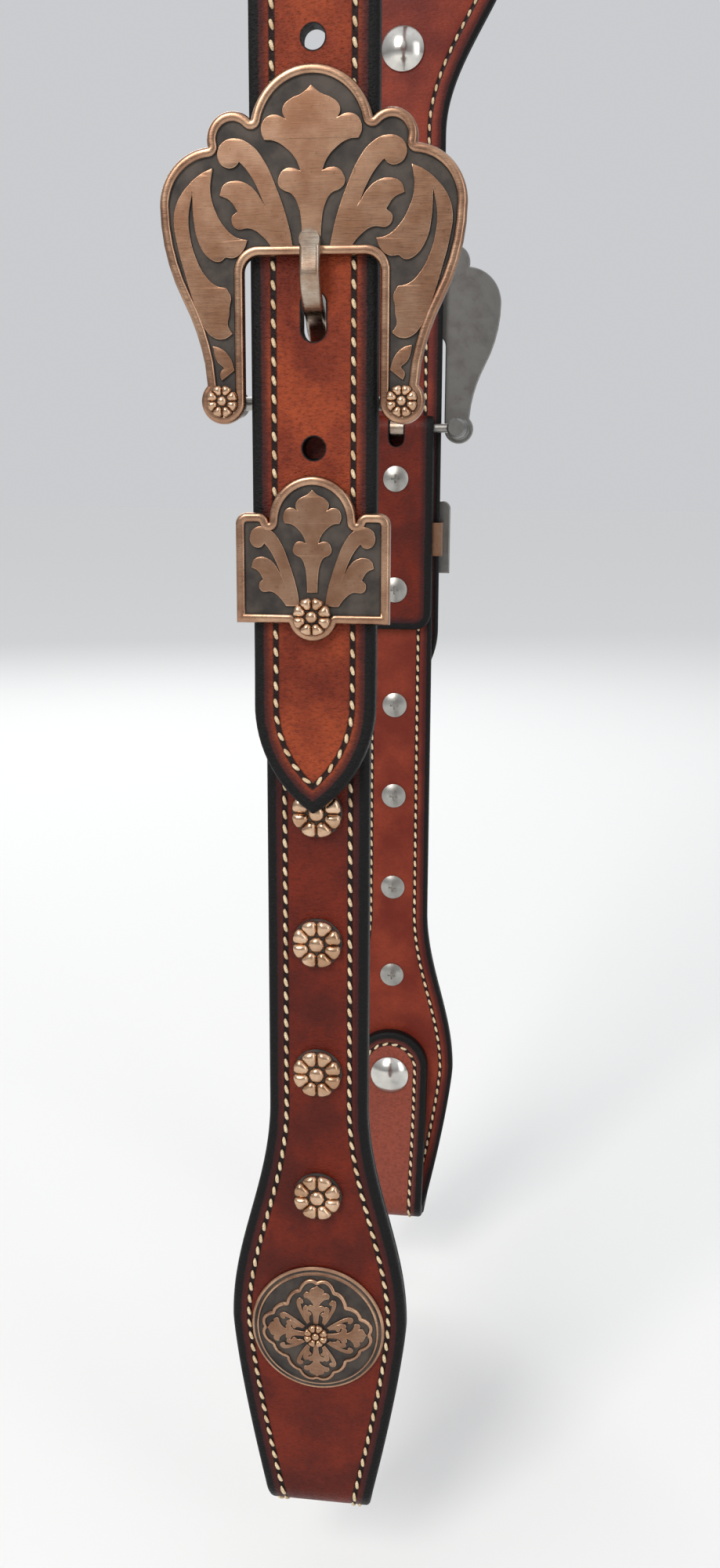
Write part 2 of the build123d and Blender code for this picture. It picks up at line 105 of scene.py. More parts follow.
BERRIES = (-84.5, -113.7, -143.9, -173.7)
CHEEK_CONCHO = -207.0
LOOP_R = 3.2
LOOP_MID = LOOP_R + LINING_PLY + PLY_GAP
FOLD_R = (CHEEK_MID - TURNBACK_FRONT) / 2
TAB_OUT, TAB_LEAN, TAB_BEND_R, TAB_HALF = CHEEK_BACK - 0.1, radians(12), 20.0, 12.3
TAB_END = CHEEK_CONCHO + 14.6
TAB_MID = TAB_OUT - LINING_PLY - PLY_GAP
TAB_BACK = TAB_MID - OUTER_PLY
ARCH_R = SIDE_Y + BILLET_BACK

# Distances along the cheek strap, from its turned-back end
BAR_START = -TURNBACK_END
FRONT_START = BAR_START + pi * FOLD_R
LOOP_START = FRONT_START + BAR_Z - LOOP_Z
LOOP_FOOT = LOOP_START + LOOP_MID * pi / 2
FOLD = (LOOP_FOOT - LOOP_MID * radians(40), LOOP_FOOT + LOOP_MID * radians(40))
LINING_START = FRONT_START + 6.5

# Finished edges of a ply: (lower face, upper face) for an outer ply and a lining
OUTER_ROUND, LINING_ROUND = (0.12, 1.1), (0.8, 0.12)
OUTER_GROOVE, LINING_GROOVE = (0, 0.3), (0.25, 0)
POST_HOLE, CONCHO_HOLE, HEAD_HOLE, CAP_HOLE = 2.1, 2.3, 3.9, 3.1
BAR_SLOT_HALF, BAR_SLOT_PAST = 2.3, 5.5

# Thread: how far in from the edge, the pitch, the share of it that shows, and the slant on each face
BILLET_SEAM, CHEEK_SEAM = 4.7, 4.0
BILLET_PITCH, CHEEK_PITCH = 3.6, 3.15
BILLET_STITCH, CHEEK_STITCH = 0.56, 0.68
FRONT_SLANT, BACK_SLANT = radians(16), radians(-8)
THREAD_R = 0.42

# Cast hardware
PLATE_BACK, PLATE_T, RELIEF, RIM = 4.4, 1.6, 0.7, 2.0
PLATE_FACE = PLATE_T + RELIEF
FOOT_X, FOOT_R, LUG_R = 17.85, 4.4, 2.9
WINDOW_HALF, WINDOW_TOP, WINDOW_CORNER = 13.45, 27.2, 3.0
BUCKLE_TOP = 61.5
KEEPER_HALF, KEEPER_BOTTOM, KEEPER_SHOULDER, KEEPER_TOP = 15.75, -43.8, -21.6, -14.3
KEEPER_BACK = BILLET_FRONT + 0.15
KEEPER_BOSS_Z, KEEPER_BOSS_R = -42.3, 5.1
RAISED, RAISED_ON_CONCHO = 0.62, 0.5
CONCHO_R, CONCHO_H, CONCHO_CROWN = 15.5, 3.4, 2.55
BERRY_R, BERRY_H = 5.5, 2.7
CAP_R, CAP_H, CAP_LIP = 6.25, 2.8, 0.5
PETALS = 8
SEAT = 0.04


# ---------------------------------------------------------------- side-view tracks

class Track:
    """A path of lines and arcs in the side view, as complex numbers out + z * 1j.

    Normals point to its left, or with right to its right.
    """

    def __init__(self, out, z, heading, right=False):
        self.pos, self.heading, self.pieces, self.length = complex(out, z), heading, [], 0.0
        self.way = -1.0 if right else 1.0

    def line(self, length):
        self.pieces.append((self.length, length, self.pos, self.heading, 0.0))
        self.pos += length * exp(1j * self.heading)
        self.length += length
        return self

    def arc(self, radius, turn):
        """Turns through an angle, left if positive, on a circle of this radius."""
        length, bend = radius * abs(turn), (1 if turn > 0 else -1) / radius
        self.pieces.append((self.length, length, self.pos, self.heading, bend))
        ahead = exp(1j * (self.heading + turn))
        self.pos += (ahead - exp(1j * self.heading)) / (1j * bend)
        self.heading += turn
        self.length += length
        return self

    def at(self, s):
        """Points and normals at distances s."""
        s = np.asarray(s, float)
        points, normals = np.zeros(len(s), complex), np.zeros(len(s), complex)
        for number, (start, length, pos, heading, bend) in enumerate(self.pieces):
            last = number == len(self.pieces) - 1
            here = (s >= start) & ((s < start + length) | last)
            t = s[here] - start
            ahead = np.exp(1j * (heading + bend * t))
            points[here] = pos + ((ahead - exp(1j * heading)) / (1j * bend) if bend else t * ahead)
            normals[here] = 1j * self.way * ahead
        return points, normals


def crown_track():
    """The lining's inner face, from the near billet's tip over the poll to the far billet's tip."""
    radius = BEND_R - BILLET_BACK
    sweep = np.arcsin((BEND_FROM - BILLET_TIP) / radius)
    start_out = BEND_R - radius * cos(sweep)
    rise = -ARCH_R - (BAR_Z + BEND_FROM)
    track = Track(start_out, BAR_Z + BILLET_TIP, pi / 2 + sweep, right=True)
    track.arc(radius, -sweep).line(rise).arc(ARCH_R, pi).line(rise)
    return track.arc(radius, -sweep)


def cheek_track():
    """Between the cheek's plies: turned-back end, over the bar, down the front, round the loop, the tab."""
    track = Track(TURNBACK_FRONT, BAR_Z + TURNBACK_END, pi / 2).line(-TURNBACK_END)
    track.arc(FOLD_R, -pi).line(BAR_Z - LOOP_Z).arc(LOOP_MID, -pi - TAB_LEAN)
    bend = TAB_BEND_R - LINING_PLY - PLY_GAP
    run_out = TAB_MID - track.pos.real - bend * (1 - cos(TAB_LEAN))
    track.line(run_out / sin(TAB_LEAN)).arc(bend, TAB_LEAN)
    return track.line(BAR_Z + TAB_END - track.pos.imag)


def to_world(points, side):
    """Side coordinates (x, out, z), an array in millimetres, as metres in the row frame."""
    way = 1.0 if side == "far" else -1.0
    return np.column_stack([-way * points[:, 0], way * (SIDE_Y + points[:, 1]), points[:, 2]]) * MM


def laid(track, x, s, h):
    """Side coordinates of points x across, s along and h above a track."""
    points, normals = track.at(s)
    spots = points + h * normals
    return np.column_stack([x, spots.real, spots.imag])


def linked(name, data):
    """A new object for a mesh, curve, light or camera, in the scene."""
    made = bpy.data.objects.new(name, data)
    bpy.context.collection.objects.link(made)
    return made


def evaluated(piece):
    """A new mesh of a piece with its modifiers or its curve's thickness applied."""
    bpy.context.view_layer.update()
    return bpy.data.meshes.new_from_object(piece.evaluated_get(bpy.context.evaluated_depsgraph_get()))


# ---------------------------------------------------------------- strap outlines

def ease(t):
    t = np.clip(t, 0, 1)
    return (1 - np.cos(pi * t)) / 2


def crown_half(z):
    """Half the crown's width at heights above the bar, with its pointed tip."""
    z = np.asarray(z, float)
    half = BILLET_HALF + (RING_HALF - BILLET_HALF) * ease((z - FLARE_FROM) / (RING_FROM - FLARE_FROM))
    half -= (RING_HALF - CROWN_HALF) * ease((z - RING_TO) / (CROWN_FROM - RING_TO))
    tip_r = (BILLET_POINT**2 + BILLET_HALF**2) / (2 * BILLET_HALF)
    below = np.clip(BILLET_TIP + BILLET_POINT - z, 0, BILLET_POINT)
    return half - tip_r + np.sqrt(tip_r**2 - below**2)


def ear_half(z):
    """Half the ear opening's width, 0 outside it."""
    reach = np.where(z < EAR_WIDE, EAR_DOWN, EAR_UP)
    return EAR_HALF * np.sqrt(np.clip(1 - ((z - EAR_WIDE) / reach) ** 2, 0, 1))


def cheek_half(z):
    """Half the cheek's width at heights from the bar."""
    z = np.asarray(z, float)
    widening = CHEEK_HALF + (CHEEK_WIDE - CHEEK_HALF) * ease((NARROW_TO - z) / (NARROW_TO - WIDE_AT))
    t = np.clip((WIDE_AT - z) / (WIDE_AT - LOOP_BOTTOM), 0, 1)
    return np.where(z > WIDE_AT, widening, CHEEK_WIDE + (FOLD_HALF - CHEEK_WIDE) * t**CHEEK_TAPER)


def tab_half(z):
    """Half the tab's width: tapering up from the fold, with a half-round end."""
    z = np.asarray(z, float)
    centre = TAB_END - TAB_HALF
    up = np.clip((z - LOOP_BOTTOM) / (centre - LOOP_BOTTOM), 0, 1)
    straight = FOLD_HALF + (TAB_HALF - FOLD_HALF) * up
    return np.where(z < centre, straight, np.sqrt(np.clip(TAB_HALF**2 - (z - centre) ** 2, 0, None)))


def turnback_half(s):
    """Half the turned-back end's width, s from its end, with round corners."""
    corner = 5.0
    inside = np.clip(corner - np.asarray(s, float), 0, corner)
    return CHEEK_HALF - corner + np.sqrt(corner**2 - inside**2)


def distance_to(points, line, reach=12.0):
    """How far flat points are from a polyline, both arrays of (x, s), or the reach where that is less."""
    run = np.diff(line, axis=0)
    length = np.maximum((run**2).sum(1), 1e-9)
    low, high = np.minimum(line[:-1, 1], line[1:, 1]), np.maximum(line[:-1, 1], line[1:, 1])
    best = np.full(len(points), reach)
    for part in np.array_split(np.argsort(points[:, 1]), len(points) // 300 + 1):
        s = points[part, 1]
        close = (high > s[0] - reach) & (low < s[-1] + reach)
        if close.any():
            gap = points[part, None, :] - line[None, :-1][:, close]
            t = np.clip((gap * run[close]).sum(2) / length[close], 0, 1)
            gap -= t[..., None] * run[close]
            best[part] = np.minimum(best[part], np.sqrt((gap**2).sum(2).min(1)))
    return best


# ---------------------------------------------------------------- leather plies

class Strap:
    """A flat strap, in x and s, bent along a track. half(s) is its half width, opening(s) its gap's."""

    def __init__(self, track, half, seam, pitch, seam_from=0.0, opening=None):
        self.track, self.half, self.seam, self.pitch, self.seam_from = track, half, seam, pitch, seam_from
        self.opening = opening or (lambda s: 0 * s)
        s = track.length * ease(np.linspace(0, 1, 1400))
        right = np.column_stack([half(s), s])
        left = (right * (-1, 1))[::-1]
        self.edges = [right, left, np.array([left[-1], right[0]]), np.array([right[-1], left[0]])]
        self.gaps = []
        open_here = np.flatnonzero(self.opening(s) > 0)
        for run in np.split(open_here, np.flatnonzero(np.diff(open_here) > 1) + 1):
            if len(run):
                near = np.linspace(s[run[0]] - 1, s[run[-1]] + 1, 2400)
                near = near[self.opening(near) > 0]
                ends = near[0] + (near[-1] - near[0]) * ease(np.linspace(0, 1, 300))
                self.gaps.append(np.column_stack([self.opening(ends), ends]))
        for gap in self.gaps:
            self.edges += [gap, gap * (-1, 1)]

    def edge_distance(self, flat):
        best = np.full(len(flat), 99.0)
        for edge in self.edges:
            best = np.minimum(best, distance_to(flat, edge))
        return best

    def rows(self, low, high, holes):
        """Distances along the strap for its mesh rows: closer together at bends, holes and steep edges."""
        close = [(hole[1] - hole[2] - 2, hole[1] + hole[2] + 2) for hole in holes]
        for start, run, _, _, bend in self.track.pieces:
            if abs(bend) > 0.02:
                close.append((start - 1, start + run + 1))
        rows = [low]
        while rows[-1] < high:
            s = rows[-1]
            step = 0.6 if any(start <= s <= end for start, end in close) else 1.8
            for _ in range(6):
                ahead = np.array([s, min(s + step, high)])
                if max(np.ptp(self.half(ahead)), np.ptp(self.opening(ahead))) < 0.9:
                    break
                step /= 2
            rows.append(min(s + step, high))
        return np.array(rows)


def strap_columns(count, inner, outer, seam):
    """Places across half a strap, from its gap or its middle out, closer at the edges and the seams."""
    edge_steps = [0, 0.15, 0.45, 0.9, 1.5, 2.4]
    near_edge = np.array(edge_steps + [seam + step for step in (-0.9, -0.45, 0, 0.45, 0.9)])
    width = outer - inner
    near_edge *= min(1.0, (0.49 if inner > 0 else 0.8) * width / near_edge[-1])
    if inner > 0:
        middle = np.linspace(near_edge[-1], width - near_edge[-1], count - 20)[1:-1]
        steps = np.concatenate([near_edge, middle, width - near_edge[::-1]])
    else:
        middle = np.linspace(near_edge[-1], width, count - 10)[1:]
        steps = np.concatenate([near_edge, middle])
    return outer - steps[::-1]


def flat_sheet(strap, low, high, holes):
    """A bmesh of a stretch of the strap's outline, in x and s, as rows of quads."""
    sheet = bmesh.new()
    count = 26 if strap.gaps else 19
    rows = strap.rows(low, high, holes)
    halves = np.maximum(strap.half(rows), 0.02)
    for way in (-1, 1):
        last = None
        for s, half, gap in zip(rows, halves, strap.opening(rows)):
            xs = way * strap_columns(count, gap if gap > 0.05 else 0.0, half, strap.seam)
            line = [sheet.verts.new((x, s, 0)) for x in xs]
            if last:
                for n in range(len(line) - 1):
                    square = [last[n], last[n + 1], line[n + 1], line[n]]
                    sheet.faces.new(square if way > 0 else square[::-1])
            last = line
    bmesh.ops.remove_doubles(sheet, verts=sheet.verts, dist=0.012)
    bmesh.ops.dissolve_degenerate(sheet, edges=sheet.edges, dist=0.002)
    return sheet


def round_over(gap, radius):
    """How far a surface has dropped at a distance from an edge rounded to a radius."""
    inside = np.clip(radius - gap, 0, radius)
    return radius - np.sqrt(radius**2 - inside**2)


def ply(name, strap, side, heights, rounding, grooves, material, stretch=None, holes=()):
    """One ply of a strap. Heights, rounding and grooves are pairs: its lower face, then its upper face.

    Holes are (x, s, radius, half length) each, and stretch is the part of the strap to make, from s to s.
    """
    low, high = stretch or (0.0, strap.track.length)
    sheet = flat_sheet(strap, low, high, holes)
    sheet.verts.ensure_lookup_table()
    sheet.verts.index_update()
    flat = np.array([v.co[:2] for v in sheet.verts])
    gap = strap.edge_distance(flat)
    faces = [[v.index for v in f.verts] for f in sheet.faces]
    rims = [[v.index for v in e.verts] for e in sheet.edges if len(e.link_faces) == 1]
    sheet.free()
    count = len(flat)
    groove = np.exp(-((gap - strap.seam) / 0.5) ** 2) * (flat[:, 1] > strap.seam_from)
    bottom = heights[0] + round_over(gap, rounding[0]) + grooves[0] * groove
    top = heights[1] - round_over(gap, rounding[1]) - grooves[1] * groove
    points = np.vstack([np.column_stack([flat, bottom]), np.column_stack([flat, top])])
    solid = [f[::-1] for f in faces] + [[n + count for n in f] for f in faces]
    solid += [[a, b, b + count, a + count] for a, b in rims]
    mesh = bpy.data.meshes.new(name)
    mesh.from_pydata(points.tolist(), [], solid)
    fix_normals(mesh)
    piece = linked(name, mesh)
    punch(piece, [hole for hole in holes if low < hole[1] < high])
    bend_strap(piece, strap, side, holes)
    return finish(piece, material)


def fix_normals(mesh, weld=0.0):
    """Turns a mesh's faces outwards, after joining the points that are closer than a weld distance."""
    solid = bmesh.new()
    solid.from_mesh(mesh)
    if weld:
        bmesh.ops.remove_doubles(solid, verts=solid.verts, dist=weld)
    bmesh.ops.recalc_face_normals(solid, faces=solid.faces)
    solid.to_mesh(mesh)
    solid.free()


def punch(piece, holes):
    """Cuts round holes and slots through a ply while it is still flat."""
    if not holes:
        return
    cutter = bmesh.new()
    for x, s, radius, half_length in holes:
        ring = bmesh.ops.create_cone(
            cutter, cap_ends=True, segments=40, radius1=radius, radius2=radius, depth=20)
        for v in ring["verts"]:
            v.co.x += x
            v.co.y += s + half_length * (1 if v.co.y > 0 else -1)
    mesh = bpy.data.meshes.new("cutter")
    cutter.to_mesh(mesh)
    cutter.free()
    tool = linked("cutter", mesh)
    cut = piece.modifiers.new("cut", "BOOLEAN")
    cut.object, cut.operation, cut.solver = tool, "DIFFERENCE", "EXACT"
    done = evaluated(piece)
    piece.modifiers.clear()
    piece.data = done
    bpy.data.objects.remove(tool)


def bend_strap(piece, strap, side, holes):
    """Stores each vertex's place and edge distances for the materials, then bends the piece on its track."""
    points = np.array([v.co for v in piece.data.vertices])
    flat = points[:, :2]
    hole_gap = np.full(len(points), 30.0)
    for x, s, radius, half_length in holes:
        along = np.clip(np.abs(flat[:, 1] - s) - half_length, 0, None)
        hole_gap = np.minimum(hole_gap, np.hypot(flat[:, 0] - x, along) - radius)
    edge = strap.edge_distance(flat)
    seam = np.where(flat[:, 1] > strap.seam_from - 2, np.abs(edge - strap.seam), 30)
    numbers = {"edge": edge, "seam": seam, "hole": hole_gap}
    numbers |= {"across": flat[:, 0], "along": flat[:, 1], "depth": points[:, 2]}
    for name, values in numbers.items():
        layer = piece.data.attributes.new(name, "FLOAT", "POINT")
        layer.data.foreach_set("value", np.asarray(values, np.float32))
    bent = to_world(laid(strap.track, flat[:, 0], flat[:, 1], points[:, 2]), side)
    piece.data.vertices.foreach_set("co", bent.astype(np.float32).ravel())
    if strap.track.way > 0:
        piece.data.flip_normals()
    piece.data.shade_smooth()
    piece.data.set_sharp_from_angle(angle=radians(62))
    piece.data.update()


# ---------------------------------------------------------------- thread

def rings(count, rows, closed=False):
    """Quads between rows of points, each row a ring of count points. Closed joins the last to the first."""
    faces = []
    for k in range(rows if closed else rows - 1):
        here, up = k * count, (k + 1) % rows * count
        for n in range(count):
            after = (n + 1) % count
            faces.append([here + n, here + after, up + after, up + n])
    return faces


def inset_path(edge, depth):
    """A path at one depth in from a strap's right edge, in x and s, where it stays right of the middle."""
    run = np.gradient(edge, axis=0)
    run /= np.maximum(np.hypot(run[:, 0], run[:, 1]), 1e-9)[:, None]
    path = edge + depth * np.column_stack([-run[:, 1], run[:, 0]])
    return path[path[:, 0] > 0.02]


def seam_paths(strap):
    """The seams of a strap, in x and s: along both edges, joined round a narrow end, and round its gaps."""
    s = strap.track.length * ease(np.linspace(0, 1, 3000))
    right = inset_path(np.column_stack([strap.half(s), s]), strap.seam)
    right = right[right[:, 1] > strap.seam_from]
    paths = [np.vstack([right, (right * (-1, 1))[::-1]])]
    for gap in strap.gaps:
        ring = inset_path(gap, -strap.seam)
        paths.append(np.vstack([ring, (ring * (-1, 1))[::-1], ring[:1]]))
    return paths


def thread_bead():
    """One stitch along +x, one unit long and in millimetres across: rings of points and its faces."""
    across, places = 7, (-1.0, -0.86, -0.5, 0.0, 0.5, 0.86, 1.0)
    points = []
    for u in places:
        radius = THREAD_R * sqrt(max(1 - abs(u) ** 3, 0.02))
        for n in range(across):
            angle = 2 * pi * n / across
            points.append((u / 2, radius * cos(angle), 0.12 - 0.32 * u**4 + 0.8 * radius * sin(angle)))
    ends = [list(range(across))[::-1], list(range(len(points) - across, len(points)))]
    return np.array(points), rings(across, len(places)) + ends


def thread(name, strap, side, share, levels, stretch=None):
    """The stitches along a stretch of a strap, each taking a share of the pitch.

    Levels are (face height, +1 or -1 for the way out of it, slant).
    """
    low, high = stretch or (0.0, strap.track.length)
    bead, bead_faces = thread_bead()
    points, faces = [], []
    for level, up, slant in levels:
        outward = (up > 0) != (strap.track.way > 0)
        for path in seam_paths(strap):
            line = path[:, 0] + 1j * path[:, 1]
            lengths = np.concatenate([[0], np.cumsum(np.abs(np.diff(line)))])
            count = int(lengths[-1] / strap.pitch)
            for k in range(count):
                here = (k + 0.5) * lengths[-1] / count
                before, middle, after = np.interp([here - 0.4, here, here + 0.4], lengths, line)
                if not low <= middle.imag < high:
                    continue
                flat = bead[:, 0] * strap.pitch * share + 1j * bead[:, 1]
                flat = middle + flat * exp(1j * (phase(after - before) + slant))
                start = len(points) * len(bead)
                points.append(laid(strap.track, flat.real, flat.imag, level + up * bead[:, 2]))
                faces += [[n + start for n in (f if outward else f[::-1])] for f in bead_faces]
    mesh = bpy.data.meshes.new(name)
    mesh.from_pydata(to_world(np.vstack(points), side).tolist(), [], faces)
    piece = linked(name, mesh)
    mesh.shade_smooth()
    return finish(piece, THREAD)


# ---------------------------------------------------------------- materials

class Nodes:
    """Short names for building the node tree of a material, from its name, or of a world."""

    def __init__(self, owner):
        self.owner = bpy.data.materials.new(owner) if isinstance(owner, str) else owner
        self.owner.use_nodes = True
        self.tree = self.owner.node_tree

    def put(self, value, socket):
        if isinstance(value, bpy.types.NodeSocket):
            self.tree.links.new(value, socket)
        elif socket.type == "RGBA":
            socket.default_value = (*value, 1.0)
        else:
            socket.default_value = value

    def new(self, kind, entries=(), output=0, **settings):
        """Adds a node, fills its inputs in order or by name, and gives one of its outputs."""
        node = self.tree.nodes.new("ShaderNode" + kind)
        for key, value in settings.items():
            setattr(node, key, value)
        for key, value in entries.items() if isinstance(entries, dict) else enumerate(entries):
            self.put(value, node.inputs[key])
        return node.outputs[output]

    def place(self):
        return self.new("TexCoord", output="Object")

    def number(self, name):
        return self.new("Attribute", output="Fac", attribute_name=name)

    def math(self, operation, a, b):
        return self.new("Math", (a, b), operation=operation)

    def step(self, value, low, high, to_low=0.0, to_high=1.0):
        return self.new("MapRange", (value, low, high, to_low, to_high), interpolation_type="SMOOTHSTEP")

    def spot(self, x, y, z):
        return self.new("CombineXYZ", (x, y, z))

    def noise(self, vector, scale, detail=2.0, rough=0.5):
        entries = {"Vector": vector, "Scale": scale, "Detail": detail, "Roughness": rough}
        return self.new("TexNoise", entries, "Fac")

    def cells(self, vector, scale):
        return self.new("TexVoronoi", {"Vector": vector, "Scale": scale}, "Distance")

    def mix(self, factor, a, b):
        return self.new("Mix", {"Factor": factor, 6: a, 7: b}, 2, data_type="RGBA")

    def bump(self, height, distance, before=None):
        entries = {"Height": height, "Distance": distance * MM}
        if before is not None:
            entries["Normal"] = before
        return self.new("Bump", entries, "Normal")

    def surface(self, **values):
        """Fills the shader's inputs, where _ stands for a space, and gives the material."""
        shader = self.tree.nodes["Principled BSDF"]
        for key, value in values.items():
            self.put(value, shader.inputs[key.replace("_", " ")])
        return self.owner


def colour(code):
    """A colour written as six hexadecimal digits, made linear."""
    parts = [int(code[n:n + 2], 16) / 255 for n in (0, 2, 4)]
    return tuple(p / 12.92 if p < 0.04045 else ((p + 0.055) / 1.055) ** 2.4 for p in parts)


def leather(name, light, deep, black_to, creases, painted_light_stretch=None):
    """Waxed chestnut leather with burnished black edges, darkened seams and punched holes.

    The last argument is (from s, to s, colour): the leather turns to that lighter colour between the two
    distances, a painted light standing in for the light that stretch catches.
    """
    n = Nodes(name)
    x, s, h = n.number("across"), n.number("along"), n.number("depth")
    edge, hole, groove = n.number("edge"), n.number("hole"), n.number("seam")
    place = n.spot(x, s, h)
    crosswise = n.spot(n.math("MULTIPLY", x, 0.75), n.math("MULTIPLY", s, 1.3), h)
    blotch = n.noise(place, 0.075, 4.0, 0.55)
    fine = n.noise(place, 1.1, 4.0, 0.6)
    crease = n.noise(crosswise, 1.25, 5.0, 0.62)
    pebble = n.cells(crosswise, 1.9)
    base = n.mix(n.step(blotch, 0.33, 0.68), deep, light)
    # Painted light: a lighter tone along a stretch of the strap, standing in for the light that stretch
    # catches.
    if painted_light_stretch:
        base = n.mix(n.step(s, painted_light_stretch[0], painted_light_stretch[1], 0.0, 0.75), base, painted_light_stretch[2])
    base = n.mix(n.step(fine, 0.35, 0.75, 0.0, 0.30), base, deep)
    base = n.mix(n.step(crease, 0.52, 0.36, 0.0, 0.35 * creases), base, colour("2a0d08"))
    ragged = n.math("ADD", edge, n.math("MULTIPLY", n.math("SUBTRACT", n.noise(place, 0.5, 3.0), 0.5), 0.5))
    stain = n.step(ragged, black_to + 0.25, black_to + 2.2, 0.85, 0.0)
    base = n.mix(stain, base, colour("2e0f12"))
    base = n.mix(n.step(groove, 0.42, 0.85, 0.96, 0.0), base, colour("0d0706"))
    black = n.step(ragged, black_to - 0.25, black_to + 0.25, 1.0, 0.0)
    black = n.math("MAXIMUM", black, n.step(hole, 0.12, 0.45, 1.0, 0.0))
    edge_black = n.mix(n.step(fine, 0.4, 0.7, 0.0, 0.5), colour("060505"), colour("100e0f"))
    base = n.mix(black, base, edge_black)
    rough = n.step(crease, 0.3, 0.7, 0.5, 0.36)
    rough = n.math("ADD", rough, n.math("MULTIPLY", black, 0.06))
    pores = n.bump(n.step(pebble, 0.0, 0.55), 0.10 * creases)
    folds = n.bump(crease, 0.26 * creases, pores)
    grit = n.bump(fine, 0.07, folds)
    return n.surface(
        Base_Color=base, Roughness=rough, Normal=grit, Specular_IOR_Level=0.2)


def thread_material():
    """Waxed cream thread with a fine twist."""
    n = Nodes("waxed_thread")
    place = n.place()
    twist = n.noise(place, 5200.0, 2.0)
    patch = n.noise(place, 220.0, 2.0)
    base = n.mix(n.step(twist, 0.35, 0.65), colour("b99c74"), colour("ecdcbc"))
    base = n.mix(n.step(patch, 0.45, 0.7, 0.0, 0.45), base, colour("b28a61"))
    return n.surface(Base_Color=base, Roughness=0.62, Normal=n.bump(twist, 0.02), Specular_IOR_Level=0.3)


def copper(name, light, deep, rough, brushed=1.0):
    """Antiqued copper with fine brush marks across it and darker tarnish."""
    n = Nodes(name)
    place = n.place()
    stretched = n.new("Mapping", {"Vector": place, "Scale": (320.0, 900.0, 5200.0)})
    marks = n.noise(stretched, 1.0, 4.0, 0.7)
    cloud = n.noise(place, 130.0, 4.0, 0.6)
    speck = n.noise(place, 1500.0, 2.0, 0.6)
    base = n.mix(n.step(cloud, 0.3, 0.72), deep, light)
    base = n.mix(n.step(marks, 0.42, 0.64, 0.35 * brushed, 0.0), base, deep)
    base = n.mix(n.step(speck, 0.64, 0.72, 0.0, 0.3), base, colour("3a2a22"))
    shine = n.step(marks, 0.3, 0.7, rough + 0.10, rough - 0.06)
    return n.surface(
        Base_Color=base, Metallic=1.0, Roughness=shine, Normal=n.bump(marks, 0.012 * brushed))


def recess():
    """The dark blackened ground between raised copper work."""
    n = Nodes("dark_recess")
    place = n.place()
    grain = n.noise(place, 2600.0, 3.0, 0.7)
    cloud = n.noise(place, 160.0, 3.0, 0.6)
    base = n.mix(n.step(cloud, 0.3, 0.7), colour("2b2623"), colour("4d443d"))
    return n.surface(Base_Color=base, Metallic=0.35, Roughness=0.62, Normal=n.bump(grain, 0.03))


def plated(name, tint, rough, swirl):
    """Bright plating with faint haze and hairlines."""
    n = Nodes(name)
    place = n.place()
    haze = n.noise(place, 240.0, 4.0, 0.6)
    hair = n.noise(place, 2400.0, 2.0, 0.5)
    base = n.mix(n.step(haze, 0.35, 0.7), tint, tuple(0.8 * part for part in tint))
    shine = n.math("ADD", n.step(haze, 0.3, 0.7, rough, rough + 0.1), n.math("MULTIPLY", hair, 0.05))
    return n.surface(Base_Color=base, Metallic=1.0, Roughness=shine, Normal=n.bump(haze, swirl))


BILLET_LEATHER = leather("chestnut_billet", colour("98401f"), colour("661f0c"), 2.2, 1.0)
BILLET_LINING = leather("chestnut_billet_lining", colour("873624"), colour("66241b"), 1.3, 0.45)
# The cheek's tab, from the loop's foot on, is painted lighter: painted light standing in for the light the
# tab catches.
CHEEK_LEATHER = leather(
    "chestnut_cheek", colour("6e210e"), colour("4c1308"), 2.1, 0.7,
    (LOOP_FOOT - 3, LOOP_FOOT + 12, colour("964e3e")))
CHEEK_LINING = leather("chestnut_cheek_lining", colour("843521"), colour("682216"), 1.3, 0.4)
THREAD = thread_material()
COPPER = copper("antique_copper", colour("a78770"), colour("84604a"), 0.34)
# Rim and bevel copper, brighter than the rest: partly rubbed wear on the edges, partly a painted highlight
# along the rims and bevels.
RIM_HIGHLIGHT_COPPER = copper("rubbed_copper", colour("c8a285"), colour("96705a"), 0.26, 0.5)
BRIGHT_COPPER = copper("bright_copper", colour("e6c6a9"), colour("b08a6c"), 0.22, 0.3)
WORN_COPPER = copper("worn_copper", colour("c3b7a8"), colour("90705a"), 0.28, 0.6)
DARK = recess()
SILVERED = plated("cast_back", colour("8f8f8c"), 0.26, 0.03)
NICKEL = plated("polished_nickel", colour("d8d5cf"), 0.12, 0.01)
STEEL = plated("screw_nickel", colour("aaa8a3"), 0.24, 0.02)
CAST_SKINS = [DARK, RIM_HIGHLIGHT_COPPER, SILVERED, COPPER]


def finish(piece, material):
    """Gives a piece its material."""
    piece.data.materials.append(material)
    return piece


# ---------------------------------------------------------------- cast shapes

class Shape:
    """Closed shells gathered into one piece. Points are (x, z from the bar, out), in millimetres."""

    def __init__(self):
        self.points, self.faces, self.skins, self.count = [], [], [], 0

    def add(self, points, faces, skin):
        self.points.append(np.array(points, float))
        self.faces += [[n + self.count for n in f] for f in faces]
        self.skins += skin if isinstance(skin, list) else [skin] * len(faces)
        self.count += len(points)

    def build(self, name, side, slot, materials, sharp=38):
        points = np.vstack(self.points)
        mesh = bpy.data.meshes.new(name)
        for material in materials:
            mesh.materials.append(material)
        world = to_world(np.column_stack([points[:, 0], points[:, 2], points[:, 1] + BAR_Z]), side)
        mesh.from_pydata(world.tolist(), [], self.faces)
        mesh.polygons.foreach_set("material_index", self.skins)
        fix_normals(mesh, 4e-7)
        mesh.shade_smooth()
        mesh.set_sharp_from_angle(angle=radians(sharp))
        piece = linked(name, mesh)
        piece.modifiers.new("flat faces stay flat", "WEIGHTED_NORMAL").keep_sharp = True
        return piece


